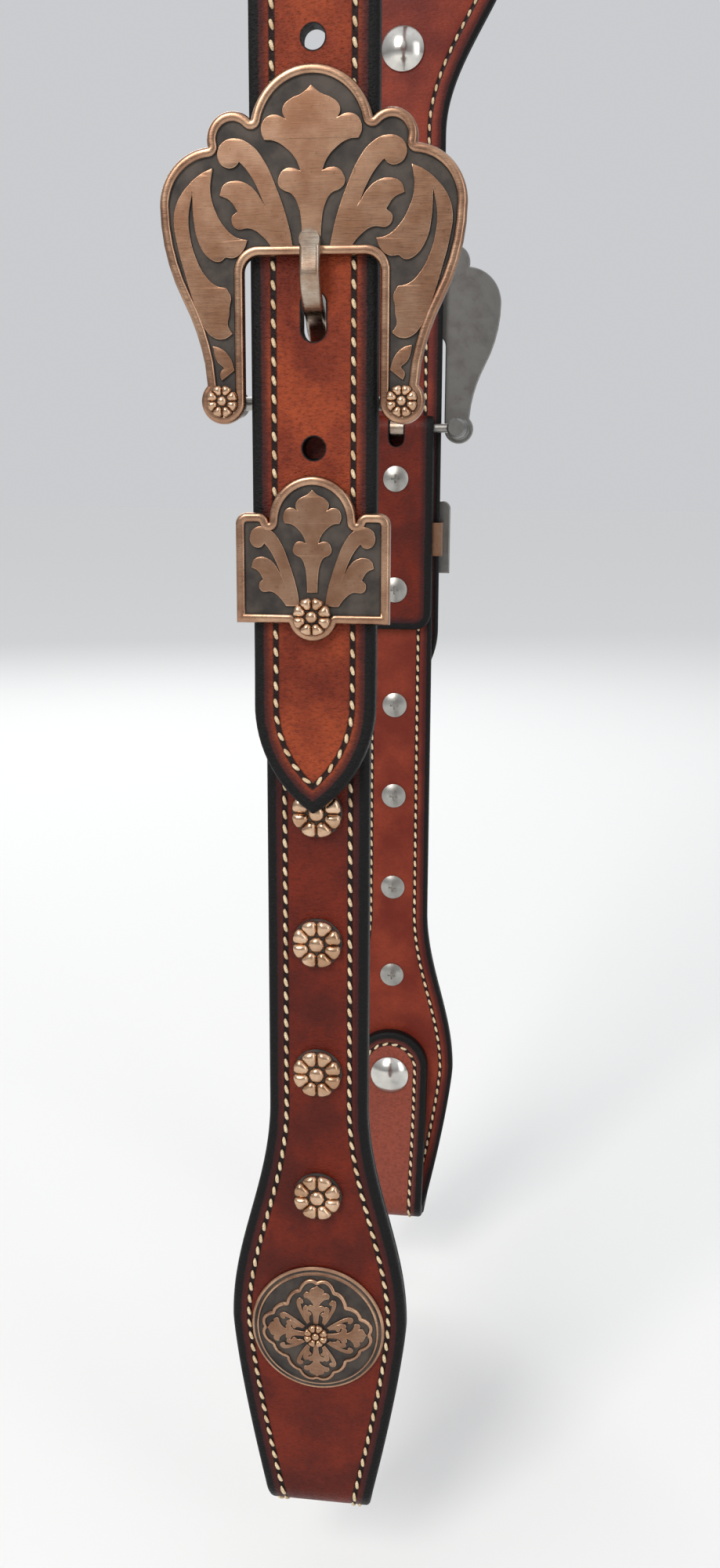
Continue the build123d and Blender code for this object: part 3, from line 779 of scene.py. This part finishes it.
def lathe(shape, x, z, profile, skins, segments=48):
    """Turns a profile of (radius, out) points, from axis to axis, about an outward axis at x and z."""
    points = []
    for radius, out in profile:
        for n in range(segments):
            angle = 2 * pi * n / segments
            points.append((x + radius * cos(angle), z + radius * sin(angle), out))
    if isinstance(skins, list):
        skins = [skin for skin in skins for _ in range(segments)]
    shape.add(points, rings(segments, len(profile)), skins)


def sweep_arc(start, end, heading=None, radius=None):
    """Points of an arc from start up to end, as complex numbers, and the heading it ends on.

    It leaves start along heading or, without one, turns clockwise on the given radius.
    """
    chord = end - start
    if heading is None:
        heading = phase(chord) + np.arcsin(min(1.0, abs(chord) / (2 * radius)))
    turn = (2 * (phase(chord) - heading) + pi) % (2 * pi) - pi
    size = abs(chord) / (2 * sin(turn / 2))
    steps = max(5, int(abs(turn) / radians(5)))
    bend = np.linspace(0, turn, steps + 1)[:-1]
    return list(start + 2 * size * np.sin(bend / 2) * np.exp(1j * (heading + bend / 2))), heading + turn


def circle_arc(centre, radius, start, end):
    """Points about a centre between two angles in degrees, without the last."""
    steps = max(4, int(abs(end - start) / 7))
    return [centre + radius * exp(1j * radians(angle)) for angle in np.linspace(start, end, steps + 1)[:-1]]


def both_sides(half):
    """A closed clockwise outline from its right half, listed from the top of the middle to the bottom."""
    half = [complex(p) for p in half]
    return half + [-p.conjugate() for p in half[::-1] if p.real > 1e-6]


def buckle_outline():
    """The buckle plate: three stepped lobes a side, and two legs that end in round feet."""
    cusp_1, cusp_2, widest, leg, ankle = 11.7 + 51.9j, 20.2 + 47.2j, 29.9 + 36.6j, 25.6 + 19j, 21 + 4j
    half, _ = sweep_arc(complex(0, BUCKLE_TOP), cusp_1, radius=11.9)
    shoulder, _ = sweep_arc(cusp_1, cusp_2, radius=5.0)
    back, _ = sweep_arc(widest, cusp_2, heading=pi / 2)
    wing = [cusp_2] + back[:0:-1]
    side, heading = sweep_arc(widest, leg, heading=-pi / 2)
    lower, _ = sweep_arc(leg, ankle, heading=heading)
    foot = circle_arc(complex(FOOT_X), FOOT_R, 44, -180)
    inner = WINDOW_HALF - WINDOW_CORNER
    corner = circle_arc(complex(inner, WINDOW_TOP - WINDOW_CORNER), WINDOW_CORNER, 0, 90)
    climb = [complex(WINDOW_HALF, z) for z in np.linspace(0, WINDOW_TOP - WINDOW_CORNER, 9)[:-1]]
    top = [complex(x, WINDOW_TOP) for x in (inner, inner / 2, 0)]
    return both_sides(half + shoulder + wing + side + lower + foot + climb + corner + top)


def keeper_outline():
    """The keeper plate: a dome between two round shoulders, and a boss at the bottom."""
    cusp, shoulder = 8.9 - 23.4j, 11.1 - 21.6j
    half, _ = sweep_arc(complex(0, KEEPER_TOP), cusp, radius=9.0)
    back, _ = sweep_arc(shoulder, cusp, heading=pi)
    rise = [cusp] + back[::-1]
    round_r = 2.4
    corner = circle_arc(complex(KEEPER_HALF - round_r, KEEPER_SHOULDER - round_r), round_r, 90, 0)
    sides = [complex(KEEPER_HALF, z) for z in np.linspace(KEEPER_SHOULDER - round_r, KEEPER_BOTTOM, 8)]
    start = degrees(np.arcsin((KEEPER_BOTTOM - KEEPER_BOSS_Z) / KEEPER_BOSS_R))
    boss = circle_arc(complex(0, KEEPER_BOSS_Z), KEEPER_BOSS_R, start, -90)
    foot = complex(0, KEEPER_BOSS_Z - KEEPER_BOSS_R)
    return both_sides(half + rise + corner + sides + boss + [foot])


def inward_rays(loop):
    """Starts and inward directions round a closed clockwise outline, fanned out at its inward corners."""
    starts, ways = [], []
    for n, here in enumerate(loop):
        before, after = here - loop[n - 1], loop[(n + 1) % len(loop)] - here
        turn = phase(after / before)
        inward = -1j * before / abs(before)
        if turn > 0.5:
            starts += [here] * 7
            ways += [inward * exp(1j * turn * k / 6) for k in range(7)]
        else:
            starts.append(here)
            ways.append(inward * exp(0.5j * turn) / cos(turn / 2))
    return np.array(starts), np.array(ways)


def rimmed_plate(shape, loop, back, ground, top, rim):
    """A cast plate: plain back, rounded edge, raised rim, sunk ground. Skins: 0 ground, 1 rim (lighter
    copper, partly a painted highlight), 2 back.
    """
    profile = [(0.45, back, 2), (0.13, back + 0.13, 2), (0.0, back + 0.45, 1)]
    for u in np.linspace(0, 1, 13):
        rise = (1 - abs(2 * u - 1) ** 2.6) ** 0.5
        profile.append((0.02 + u * (rim - 0.02), ground + (top - ground) * rise, 0 if u > 0.9 else 1))
    starts, ways = inward_rays(loop)
    points, skins, count = [], [], len(starts)
    for depth, out, skin in profile:
        ring = starts + depth * ways
        points += list(zip(ring.real, ring.imag, [out] * count))
        skins += [skin] * count
    ends = [list(range(count)), list(range(len(points) - count, len(points)))]
    shape.add(points, rings(count, len(profile)) + ends, skins[:-count] + [2, 0])


def raised(shape, outline, ground, height, skin, place=lambda p: p, dome=None, bevel=0.16, steps=5):
    """A flat raised shape on the ground, from a closed outline of (x, z) where a third value marks a corner.

    Its top takes the given skin, its rounded edge the rim's lighter skin 1 (partly a painted highlight), and
    its walls the ground's skin 0.
    Place maps its complex points into position, and dome gives the height of curved ground at a radius.
    """
    curve = bpy.data.curves.new("raised", "CURVE")
    curve.dimensions, curve.fill_mode = "2D", "BOTH"
    curve.extrude, curve.bevel_depth, curve.offset = height / 2 - bevel, bevel, -bevel
    curve.bevel_resolution, curve.resolution_u = 2, steps
    spline = curve.splines.new("BEZIER")
    spline.bezier_points.add(len(outline) - 1)
    spline.use_cyclic_u = True
    for (x, z, *corner), point in zip(outline, spline.bezier_points):
        spot = place(complex(x, z))
        point.co = (spot.real, spot.imag, 0)
        point.handle_left_type = point.handle_right_type = "VECTOR" if corner else "AUTO"
    holder = linked("raised", curve)
    mesh = evaluated(holder)
    bpy.data.objects.remove(holder)
    solid = bmesh.new()
    solid.from_mesh(mesh)
    bmesh.ops.remove_doubles(solid, verts=solid.verts, dist=0.004)
    if dome:
        for _ in range(2):
            long = [e for e in solid.edges if e.calc_length() > 1.3]
            bmesh.ops.subdivide_edges(solid, edges=long, cuts=1)
        bmesh.ops.triangulate(solid, faces=solid.faces)
    solid.normal_update()
    solid.verts.index_update()
    points = np.array([v.co for v in solid.verts])
    faces, skins = [], []
    for face in solid.faces:
        faces.append([v.index for v in face.verts])
        level = abs(face.normal.z)
        # Bevel faces take the rim's lighter copper: partly edge wear, partly a painted highlight.
        skins.append(0 if level < 0.3 else 1 if level < 0.97 else skin)
    solid.free()
    points[:, 2] += ground + height / 2 - 0.12
    if dome:
        points[:, 2] += dome(np.hypot(points[:, 0], points[:, 1] - dome.centre))
    shape.add(points, faces, skins)


def petal(shape, x, z, angle, inner, outer, out, height):
    """One domed teardrop petal of a rosette, pointing away from its middle: a dome over a flat bottom."""
    rows, across = 13, 9
    along = ease(np.linspace(0, 1, rows))
    width = 0.96 * np.tan(pi / PETALS) * (inner + (outer - inner) * along)
    width *= np.sqrt(np.clip(1 - np.clip((along - 0.62) / 0.38, 0, 1) ** 2.2, 0, 1))
    width *= np.sqrt(np.clip(along / 0.1, 0, 1))
    points = []
    for level in (1, 0):
        for t, half in zip(along, width):
            for v in (2 * ease(np.linspace(0, 1, across)) - 1):
                rise = sqrt(1 - 0.999 * abs(v) ** 2.6) * sqrt(1 - 0.999 * abs(2 * t - 1) ** 2.6) * level
                spot = complex(inner + (outer - inner) * t, half * v) * exp(1j * angle)
                points.append((x + spot.real, z + spot.imag, out - 0.1 + (height + 0.1) * rise))
    grid = np.arange(rows * across).reshape(rows, across)
    low = rows * across
    top = np.stack([grid[:-1, :-1], grid[:-1, 1:], grid[1:, 1:], grid[1:, :-1]], 2).reshape(-1, 4)
    faces = top.tolist() + (top[:, ::-1] + low).tolist()
    loop = np.concatenate([grid[0], grid[1:, -1], grid[-1, -2::-1], grid[-2:0:-1, 0]]).tolist()
    faces += [[a, b, b + low, a + low] for a, b in zip(loop, loop[1:] + loop[:1])]
    shape.add(points, faces, 1)


def rosette(shape, x, z, out, radius, height):
    """A cast flower: a dark disc, a domed button and domed petals. Skins: 0 disc, 1 petals."""
    base = 0.3 * height
    disc = [(0, out), (0.85 * radius, out), (0.9 * radius, out + 0.4 * base), (0.86 * radius, out + base)]
    lathe(shape, x, z, disc + [(0, out + base)], 0)
    button = [(0, out + 0.1)]
    for angle in np.linspace(0, pi / 2, 7):
        button.append((0.31 * radius * cos(angle), out + (0.45 + 0.55 * sin(angle) ** 0.9) * height))
    lathe(shape, x, z, button, 1, 24)
    for n in range(PETALS):
        angle = 2 * pi * (n + 0.5) / PETALS
        petal(shape, x, z, angle, 0.35 * radius, radius, out + base, 0.6 * height)


def post(shape, z, back, front, radius, bore):
    """A hollow threaded post, open at its back end."""
    lathe(shape, 0, z, [(bore, back), (radius, back), (radius, front), (0, front), (0, front - 0.2),
                        (bore, front - 0.2), (bore, back)], 2, 32)


# ---------------------------------------------------------------- raised designs
# Right halves, as (x, height above the bar) from the middle out. A third value marks a corner.

FLOWER = [
    (0, 57.7, 1), (1.7, 56.3), (4, 55.3), (5.3, 54.2), (5.6, 52.9), (5.1, 51.9, 1), (6.8, 52.6),
    (8.6, 52.2), (9.6, 50.9), (9.7, 49.4), (9.1, 48.1, 1), (7.2, 47.9), (4.8, 46.5), (3.0, 44.5),
    (2.2, 42.6, 1), (3.6, 43.1), (5.2, 42.9), (6.3, 41.6), (6.5, 40.2), (5.7, 39.2), (3.8, 38.3),
    (2.6, 36.2), (2.0, 32.9), (1.8, 28.4, 1)]
SCROLL = [
    (3.5, 28.6, 1), (4.7, 33.8), (6.7, 39.4), (9.2, 44.6), (11.7, 47.4), (14.7, 48.6), (17.1, 48.0),
    (18.2, 46.5), (18.1, 44.6), (16.6, 43.3), (14.9, 43.4), (14, 44.3, 1), (12.5, 42.7), (10.8, 40.0),
    (9.5, 37.1, 1), (10.7, 38.9), (12.7, 40.5), (15.2, 41.0), (17.2, 40.2), (18, 38.3, 1), (16, 37.4),
    (14.5, 35.4, 1), (15.7, 34.2), (14.9, 32.3), (11.9, 32.2), (9.4, 30.6), (7.7, 28.6, 1)]
PLUME = [
    (19.2, 43.4, 1), (21.7, 42.3), (24.2, 40.3), (26.3, 37.5), (27.2, 34.2), (26.7, 30), (25.4, 24.9),
    (23.5, 18.8), (21.6, 14.2), (19.6, 12.1), (17.4, 11.8), (15.7, 12.8, 1), (16.6, 14.4),
    (16.3, 16.3, 1), (16.2, 17.9), (15.9, 19.6), (16.8, 21.4, 1), (18.9, 21.9), (21, 23.8),
    (22.6, 26.6), (23.9, 31), (24.1, 34.7), (23.4, 38.6, 1), (23.2, 33.8), (22.2, 29.6), (20.2, 26.9),
    (18.2, 26.2), (16.9, 27.0, 1), (15.2, 26.9), (13.4, 28.2), (12.5, 30.2, 1), (14.7, 30.7),
    (16.7, 32.3), (18.6, 35.2), (19.7, 39)]
SPRIG = [
    (19.8, 10.6, 1), (17.9, 10.0), (16.3, 8.4), (15.4, 5.9, 1), (16.7, 4.9), (18.0, 3.9, 1), (18.4, 5.2),
    (17.6, 6.4, 1), (19.0, 7.7)]


def mirrored(outline):
    """A symmetrical outline from its right half."""
    return outline + [(-x, z, *corner) for x, z, *corner in outline[::-1] if x > 0]


def flipped(outline):
    return [(-x, z, *corner) for x, z, *corner in outline]


def cast(shape, name, node, side, body, skins, slot="antique_copper", sharp=38):
    """Builds a shape as the piece that stands for a side's CAD node and rides on one of its bodies."""
    piece = shape.build(f"{name}_{side}", side, slot, skins, sharp)
    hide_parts(f"{node}_{side}")
    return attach(piece, f"{side}_{body}")


def buckle_frame(side):
    """The cast buckle: rimmed plate, floral relief, and the lugs behind its feet."""
    shape = Shape()
    ground = PLATE_BACK + PLATE_T
    rimmed_plate(shape, buckle_outline(), PLATE_BACK, ground, ground + RELIEF, RIM)
    design = [mirrored(FLOWER)]
    for outline in (SCROLL, PLUME, SPRIG):
        design += [outline, flipped(outline)]
    for outline in design:
        raised(shape, outline, ground, RAISED, 3)
    for x in (-FOOT_X, FOOT_X):
        lathe(shape, x, 0, [
            (0, BAR_OUT - LUG_R), (LUG_R - 0.6, BAR_OUT - LUG_R), (LUG_R, BAR_OUT - LUG_R + 0.6),
            (LUG_R, PLATE_BACK - 0.6), (LUG_R + 0.6, PLATE_BACK + 0.1), (0, PLATE_BACK + 0.1)], 2)
    cast(shape, "buckle_frame_cast", "buckle_frame", side, "buckle", CAST_SKINS)


def keeper_plate(side):
    """The keeper's cast front plate, with the buckle's flower and scrolls made to fit it."""
    shape = Shape()
    ground = KEEPER_BACK + PLATE_T
    rimmed_plate(shape, keeper_outline(), KEEPER_BACK, ground, ground + RELIEF, RIM)

    def fitted(wide, tall, top, to_top):
        return lambda p: complex(p.real * wide, (p.imag - top) * tall + to_top)

    raised(shape, mirrored(FLOWER), ground, RAISED, 3, fitted(0.61, 0.70, 57.7, -17.0))
    for outline in (SCROLL, flipped(SCROLL)):
        raised(shape, outline, ground, RAISED, 3, fitted(0.70, 0.80, 48.6, -24.3))
    cast(shape, "keeper_plate_cast", "keeper_plate", side, "keeper", CAST_SKINS)


def rosettes(name, node, side, body, spots, out, radius, height):
    """The cast flowers of one node, at spots of (x, z)."""
    shape = Shape()
    for x, z in spots:
        rosette(shape, x, z, out + SEAT, radius, height)
    cast(shape, name, node, side, body, [DARK, BRIGHT_COPPER])


def concho(name, z, face, post_back, side):
    """A large domed concho: stepped rim, scalloped band, four flowers, four scrolled pairs, hollow post."""
    shape = Shape()
    rim_in, sunk = 13.6, 0.28
    ball = ((CONCHO_R - 0.4) ** 2 + CONCHO_CROWN**2) / (2 * CONCHO_CROWN)

    def dome(radius):
        return face + 0.85 - (ball - CONCHO_CROWN) + np.sqrt(ball**2 - radius**2)

    dome.centre = z
    profile = [
        (0, face + SEAT), (15.2, face + SEAT), (CONCHO_R, face + 0.25), (CONCHO_R, face + 0.6),
        (15.3, face + 0.85), (14.9, dome(14.9) + 0.02), (14.6, dome(14.6) - 0.22),
        (14.35, dome(14.35) - 0.22), (14.15, dome(14.15) + 0.03), (13.8, dome(13.8) + 0.03),
        (rim_in, dome(rim_in) - sunk)]
    profile += [(r, dome(r) - sunk) for r in np.linspace(rim_in, 0, 13)[1:]]
    lathe(shape, 0, z, profile, [2, 2, 1, 1, 1, 0, 0, 1, 1, 0] + [0] * 12, 96)
    scallops = []
    for angle in np.arange(0, 2 * pi, pi / 64):
        reach = 11.35 + 1.25 * cos(4 * angle) + 0.75 * abs(sin(8 * angle)) ** 0.8
        scallops.append(complex(0, z) + reach * exp(-1j * angle))
    starts, ways = inward_rays(scallops)
    band = [(0, -0.4)]
    for u in np.linspace(0, 1, 8):
        band.append((0.95 * u, -sunk + 0.5 * (1 - abs(2 * u - 1) ** 2.4) ** 0.5))
    band.append((0.95, -0.4))
    points = []
    for depth, rise in band:
        ring = starts + depth * ways
        points += list(zip(ring.real, ring.imag, dome(abs(ring - complex(0, z))) + rise))
    shape.add(points, rings(len(starts), len(band), closed=True), 1)

    def spread(turn, wide, tall, foot, start, lean=0.0):
        return lambda p: complex(0, z) + turn * complex(wide * p.real - lean, tall * (p.imag - foot) + start)

    for quarter in range(4):
        turn = exp(0.5j * pi * quarter)
        raised(shape, mirrored(FLOWER), -sunk, RAISED_ON_CONCHO, 3,
               spread(turn, 0.31, 0.31, 28.4, 2.6), dome, 0.12, 4)
        turn *= exp(0.25j * pi)
        for outline, lean in ((SCROLL, 0.4), (flipped(SCROLL), -0.4)):
            raised(shape, outline, -sunk, RAISED_ON_CONCHO, 3,
                   spread(turn, 0.215, 0.29, 28.6, 3.2, lean), dome, 0.10, 4)
    post(shape, z, post_back, face + 0.5, 2.2, 1.6)
    cast(shape, f"{name}_cast", name, side, "side", CAST_SKINS)


def berries(side):
    """The four berry conchos and their hollow posts."""
    shape = Shape()
    for z in BERRIES:
        lathe(shape, 0, z, [
            (0, SEAT), (BERRY_R - 0.2, SEAT), (BERRY_R, 0.3), (BERRY_R - 0.1, 0.6), (BERRY_R - 0.5, 0.9),
            (0, 0.9)], 0)
        rosette(shape, 0, z, 0.85, BERRY_R, BERRY_H - 0.85)
        post(shape, z, CHEEK_BACK + 0.2, 0.5, 2.0, 1.5)
    cast(shape, "berry_conchos_cast", "berry_conchos", side, "side", [DARK, BRIGHT_COPPER, SILVERED])


def cap(name, z, under, stud, side, body):
    """A bright domed cap facing inwards, with a small lip and a threaded stud."""
    shape = Shape()
    ball = (CAP_R**2 + (CAP_H - CAP_LIP) ** 2) / (2 * (CAP_H - CAP_LIP))
    tip, pitch = under + stud, 0.4
    profile = [(0, tip), (1.1, tip), (1.45, tip - 0.3)]
    for n in range(int((stud - 0.5) / pitch)):
        profile += [(1.28, tip - 0.5 - pitch * n), (1.48, tip - 0.7 - pitch * n)]
    profile += [(1.4, under), (CAP_R - 0.25, under), (CAP_R, under - 0.15), (CAP_R, under - 0.38)]
    for r in np.linspace(CAP_R - 0.12, 0, 12):
        profile.append((r, under - CAP_LIP - np.sqrt(ball**2 - r**2) + ball - (CAP_H - CAP_LIP)))
    lathe(shape, 0, z, profile, 0, 56)
    cast(shape, f"{name}_domed", name, side, body, [NICKEL], "polished_nickel", 50)


# ---------------------------------------------------------------- leather pieces

CROWN = crown_track()
CROWN_S = np.linspace(0, CROWN.length, 6000)
CROWN_Z = CROWN.at(CROWN_S)[0].imag
CHEEK = cheek_track()


def crown_s(z):
    """The distance from the near tip to a height above the bar, on the near side."""
    half = len(CROWN_S) // 2
    return float(np.interp(BAR_Z + z, CROWN_Z[:half], CROWN_S[:half]))


def crown_width(s):
    return crown_half(CROWN.at(s)[0].imag - BAR_Z)


def crown_opening(s):
    return ear_half(CROWN.at(s)[0].imag - BAR_Z)


def cheek_width(s):
    s = np.asarray(s, float)
    z = CHEEK.at(s)[0].imag - BAR_Z
    front = np.where(s < LOOP_FOOT, cheek_half(z), tab_half(z))
    return np.where(s < BAR_START, turnback_half(s), np.where(s < FRONT_START, CHEEK_HALF, front))


def crown_straps():
    """The crown's two plies and its thread, one piece each from billet to billet, bending at the poll."""
    strap = Strap(CROWN, crown_width, BILLET_SEAM, BILLET_PITCH, opening=crown_opening)
    holes = []
    for step in (-2, -1, 0, 1, 2):
        s = crown_s(TONGUE_HOLE + step * HOLE_SPACING)
        long = (TONGUE_SLOT[0] - TONGUE_SLOT[1]) / 2 if step == 0 else 0.0
        holes.append((0, s, TONGUE_SLOT[1] / 2 if step == 0 else HOLE_R, long))
    holes.append((0, crown_s(CROWN_CONCHO), CONCHO_HOLE, 0.0))
    holes += [(x, CROWN.length - s, radius, long) for x, s, radius, long in holes]
    low = LINING_PLY + PLY_GAP
    top = low + OUTER_PLY
    outer = ply("crown_strap", strap, "near", (low, top), OUTER_ROUND, OUTER_GROOVE, BILLET_LEATHER,
                holes=holes)
    lining = ply("crown_strap_lining", strap, "near", (0, LINING_PLY), LINING_ROUND, LINING_GROOVE,
                 BILLET_LINING, holes=holes)
    levels = [(top, 1, FRONT_SLANT), (0, -1, BACK_SLANT)]
    stitches = thread("crown_stitching", strap, "near", BILLET_STITCH, levels)
    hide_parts("crown_outer_near", "crown_outer_far")
    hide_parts("crown_lining_near", "crown_lining_far")
    for piece in (outer, lining, stitches):
        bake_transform(piece)


def cheek_straps(side):
    """The cheek's outer ply, lining and thread, each cut at the loop so that the tab can open."""
    strap = Strap(CHEEK, cheek_width, CHEEK_SEAM, CHEEK_PITCH, seam_from=FRONT_START + 8)
    shared = [(0, FRONT_START - z, POST_HOLE, 0.0) for z in BERRIES]
    shared.append((0, FRONT_START - CHEEK_CONCHO, CONCHO_HOLE, 0.0))
    shared.append((0, CHEEK.length - (TAB_END - CHEEK_CONCHO), CAP_HOLE, 0.0))
    over_bar = BAR_SLOT_PAST + (FRONT_START - BAR_START) / 2 - BAR_SLOT_HALF
    outer_holes = shared + [(0, (BAR_START + FRONT_START) / 2, BAR_SLOT_HALF, over_bar)]
    outer_holes += [(0, FRONT_START - z, HEAD_HOLE, 0.0) for z in TURNBACK_SCREWS]
    outer_holes += [(0, BAR_START + z, POST_HOLE, 0.0) for z in TURNBACK_SCREWS]
    inner_holes = shared + [(0, FRONT_START - z, POST_HOLE, 0.0) for z in TURNBACK_SCREWS]
    back = -PLY_GAP - LINING_PLY
    levels = [(OUTER_PLY, 1, -FRONT_SLANT), (back, -1, -BACK_SLANT)]
    stretches = {"strap": (0, FOLD[0]), "loop": FOLD, "tab": (FOLD[1], CHEEK.length)}
    replaced = {"strap": "cheek_{}_" + side, "tab": "bit_tab_{}_" + side}
    for part, (low, high) in stretches.items():
        outer = ply(f"cheek_{part}_{side}", strap, side, (0, OUTER_PLY), OUTER_ROUND, OUTER_GROOVE,
                    CHEEK_LEATHER, (low, high), outer_holes)
        lining = ply(f"cheek_{part}_lining_{side}", strap, side, (back, -PLY_GAP), LINING_ROUND,
                     LINING_GROOVE, CHEEK_LINING, (max(low, LINING_START), high), inner_holes)
        name = f"cheek_{part}_stitching_{side}"
        stitches = thread(name, strap, side, CHEEK_STITCH, levels, (low, high))
        if part in replaced:
            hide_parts(replaced[part].format("outer"))
            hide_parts(replaced[part].format("lining"))
        for piece in (outer, lining, stitches):
            if part == "loop":
                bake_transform(piece)
            else:
                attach(piece, f"{side}_side" if part == "strap" else f"{side}_tab")


# ---------------------------------------------------------------- assembly

def side_hardware(side):
    """One side's castings and caps, and the finish of the CAD solids that stay."""
    buckle_frame(side)
    rosettes("buckle_foot_rosettes", "buckle_rosettes", side, "buckle", [(-FOOT_X, 0), (FOOT_X, 0)],
             PLATE_BACK + PLATE_FACE, 3.1, 1.3)
    keeper_plate(side)
    rosettes("keeper_rosette_cast", "keeper_rosette", side, "keeper", [(0, KEEPER_BOSS_Z)],
             KEEPER_BACK + PLATE_FACE, 4.0, 1.6)
    for name, z, face, back in (("cheek_concho", CHEEK_CONCHO, 0.0, TAB_BACK + 0.4),
                                ("crown_concho", CROWN_CONCHO, BILLET_FRONT, BILLET_BACK + 0.2)):
        concho(name, z, face, back, side)
        node = f"{name}_rosette"
        rosettes(f"{node}_cast", node, side, "side", [(0, z)], face + CONCHO_H, 2.8, 1.2)
    berries(side)
    cap("bit_cap", CHEEK_CONCHO, TAB_BACK - SEAT, 5.5, side, "cap")
    cap("crown_cap", CROWN_CONCHO, BILLET_BACK - SEAT, 3.2, side, "side")
    kept = dict.fromkeys(("turnback_posts", "turnback_screws", "berry_screws", "buckle_bar"), STEEL)
    kept |= {"buckle_tongue": WORN_COPPER, "keeper_band": COPPER}
    for node, material in kept.items():
        materials = frame["nodes"][f"{node}_{side}"].data.materials
        materials.clear()
        materials.append(material)


crown_straps()
for hand in ("near", "far"):
    cheek_straps(hand)
    side_hardware(hand)


# ---------------------------------------------------------------- studio

def studio():
    """A pale floor and a pale world, brighter overhead. The camera sees the world as the far floor."""
    floor_z, reach = CAD_BOX[0][2] - FLOOR_GAP, 12.0
    mesh = bpy.data.meshes.new("floor")
    corners = ((-reach, -reach), (reach, -reach), (reach, reach), (-reach, reach))
    mesh.from_pydata([(x, y, floor_z) for x, y in corners], [], [(0, 1, 2, 3)])
    mesh.materials.append(Nodes("pale_floor").surface(Base_Color=(0.78, 0.78, 0.77), Roughness=0.9))
    linked("floor", mesh)
    n = Nodes(bpy.data.worlds.new("studio"))
    up = n.new("SeparateXYZ", (n.new("TexCoord", output="Generated"),), "Z")
    ramp = n.new("ValToRGB", (up,))
    low, high = ramp.node.color_ramp.elements
    low.position, low.color = 0.0, (0.25, 0.25, 0.255, 1)
    high.position, high.color = 0.9, (0.95, 0.97, 1.0, 1)
    to_camera = n.new("LightPath", output="Is Camera Ray")
    n.put(n.mix(to_camera, ramp, (0.59, 0.60, 0.62)), n.tree.nodes["Background"].inputs["Color"])
    bpy.context.scene.world = n.owner


def softbox(name, place, size, power, tint=(1, 1, 1)):
    """A soft rectangular lamp, turned towards the near keeper."""
    light = bpy.data.lights.new(name, "AREA")
    light.shape, light.size, light.size_y = "RECTANGLE", size[0], size[1]
    light.energy, light.color = power, tint
    lamp = linked(name, light)
    lamp.location = place
    target = Vector((0, -SIDE_Y, BAR_Z - 60)) * MM
    lamp.rotation_euler = (target - Vector(place)).to_track_quat("-Z", "Y").to_euler()


def camera():
    """The photograph's viewing angle: a little right of the straps' front, slightly above, tipped down."""
    yaw, pitch, roll = radians(7.7), radians(12.16), radians(0.29)
    data = bpy.data.cameras.new("camera")
    data.sensor_fit, data.sensor_height, data.lens = "VERTICAL", 36, 32.67
    data.clip_start = 0.02
    eye = linked("camera", data)
    eye.location = Vector((48.6, -(SIDE_Y + 292), BAR_Z - 14.6)) * MM
    forward = Vector((-sin(yaw) * cos(pitch), cos(yaw) * cos(pitch), -sin(pitch)))
    turn = forward.to_track_quat("-Z", "Y").to_matrix() @ Matrix.Rotation(roll, 3, "Z")
    eye.rotation_euler = turn.to_euler()
    bpy.context.scene.camera = eye


bpy.context.scene.view_settings.view_transform = "Standard"
studio()
softbox("key", (-0.6, -1.5, 0.75), (0.6, 0.9), 19, (1, 0.97, 0.93))
softbox("fill", (1.3, -1.2, 0.1), (0.6, 1.2), 5)
softbox("rear", (-0.5, 1.3, 0.5), (0.9, 0.9), 8)
camera()
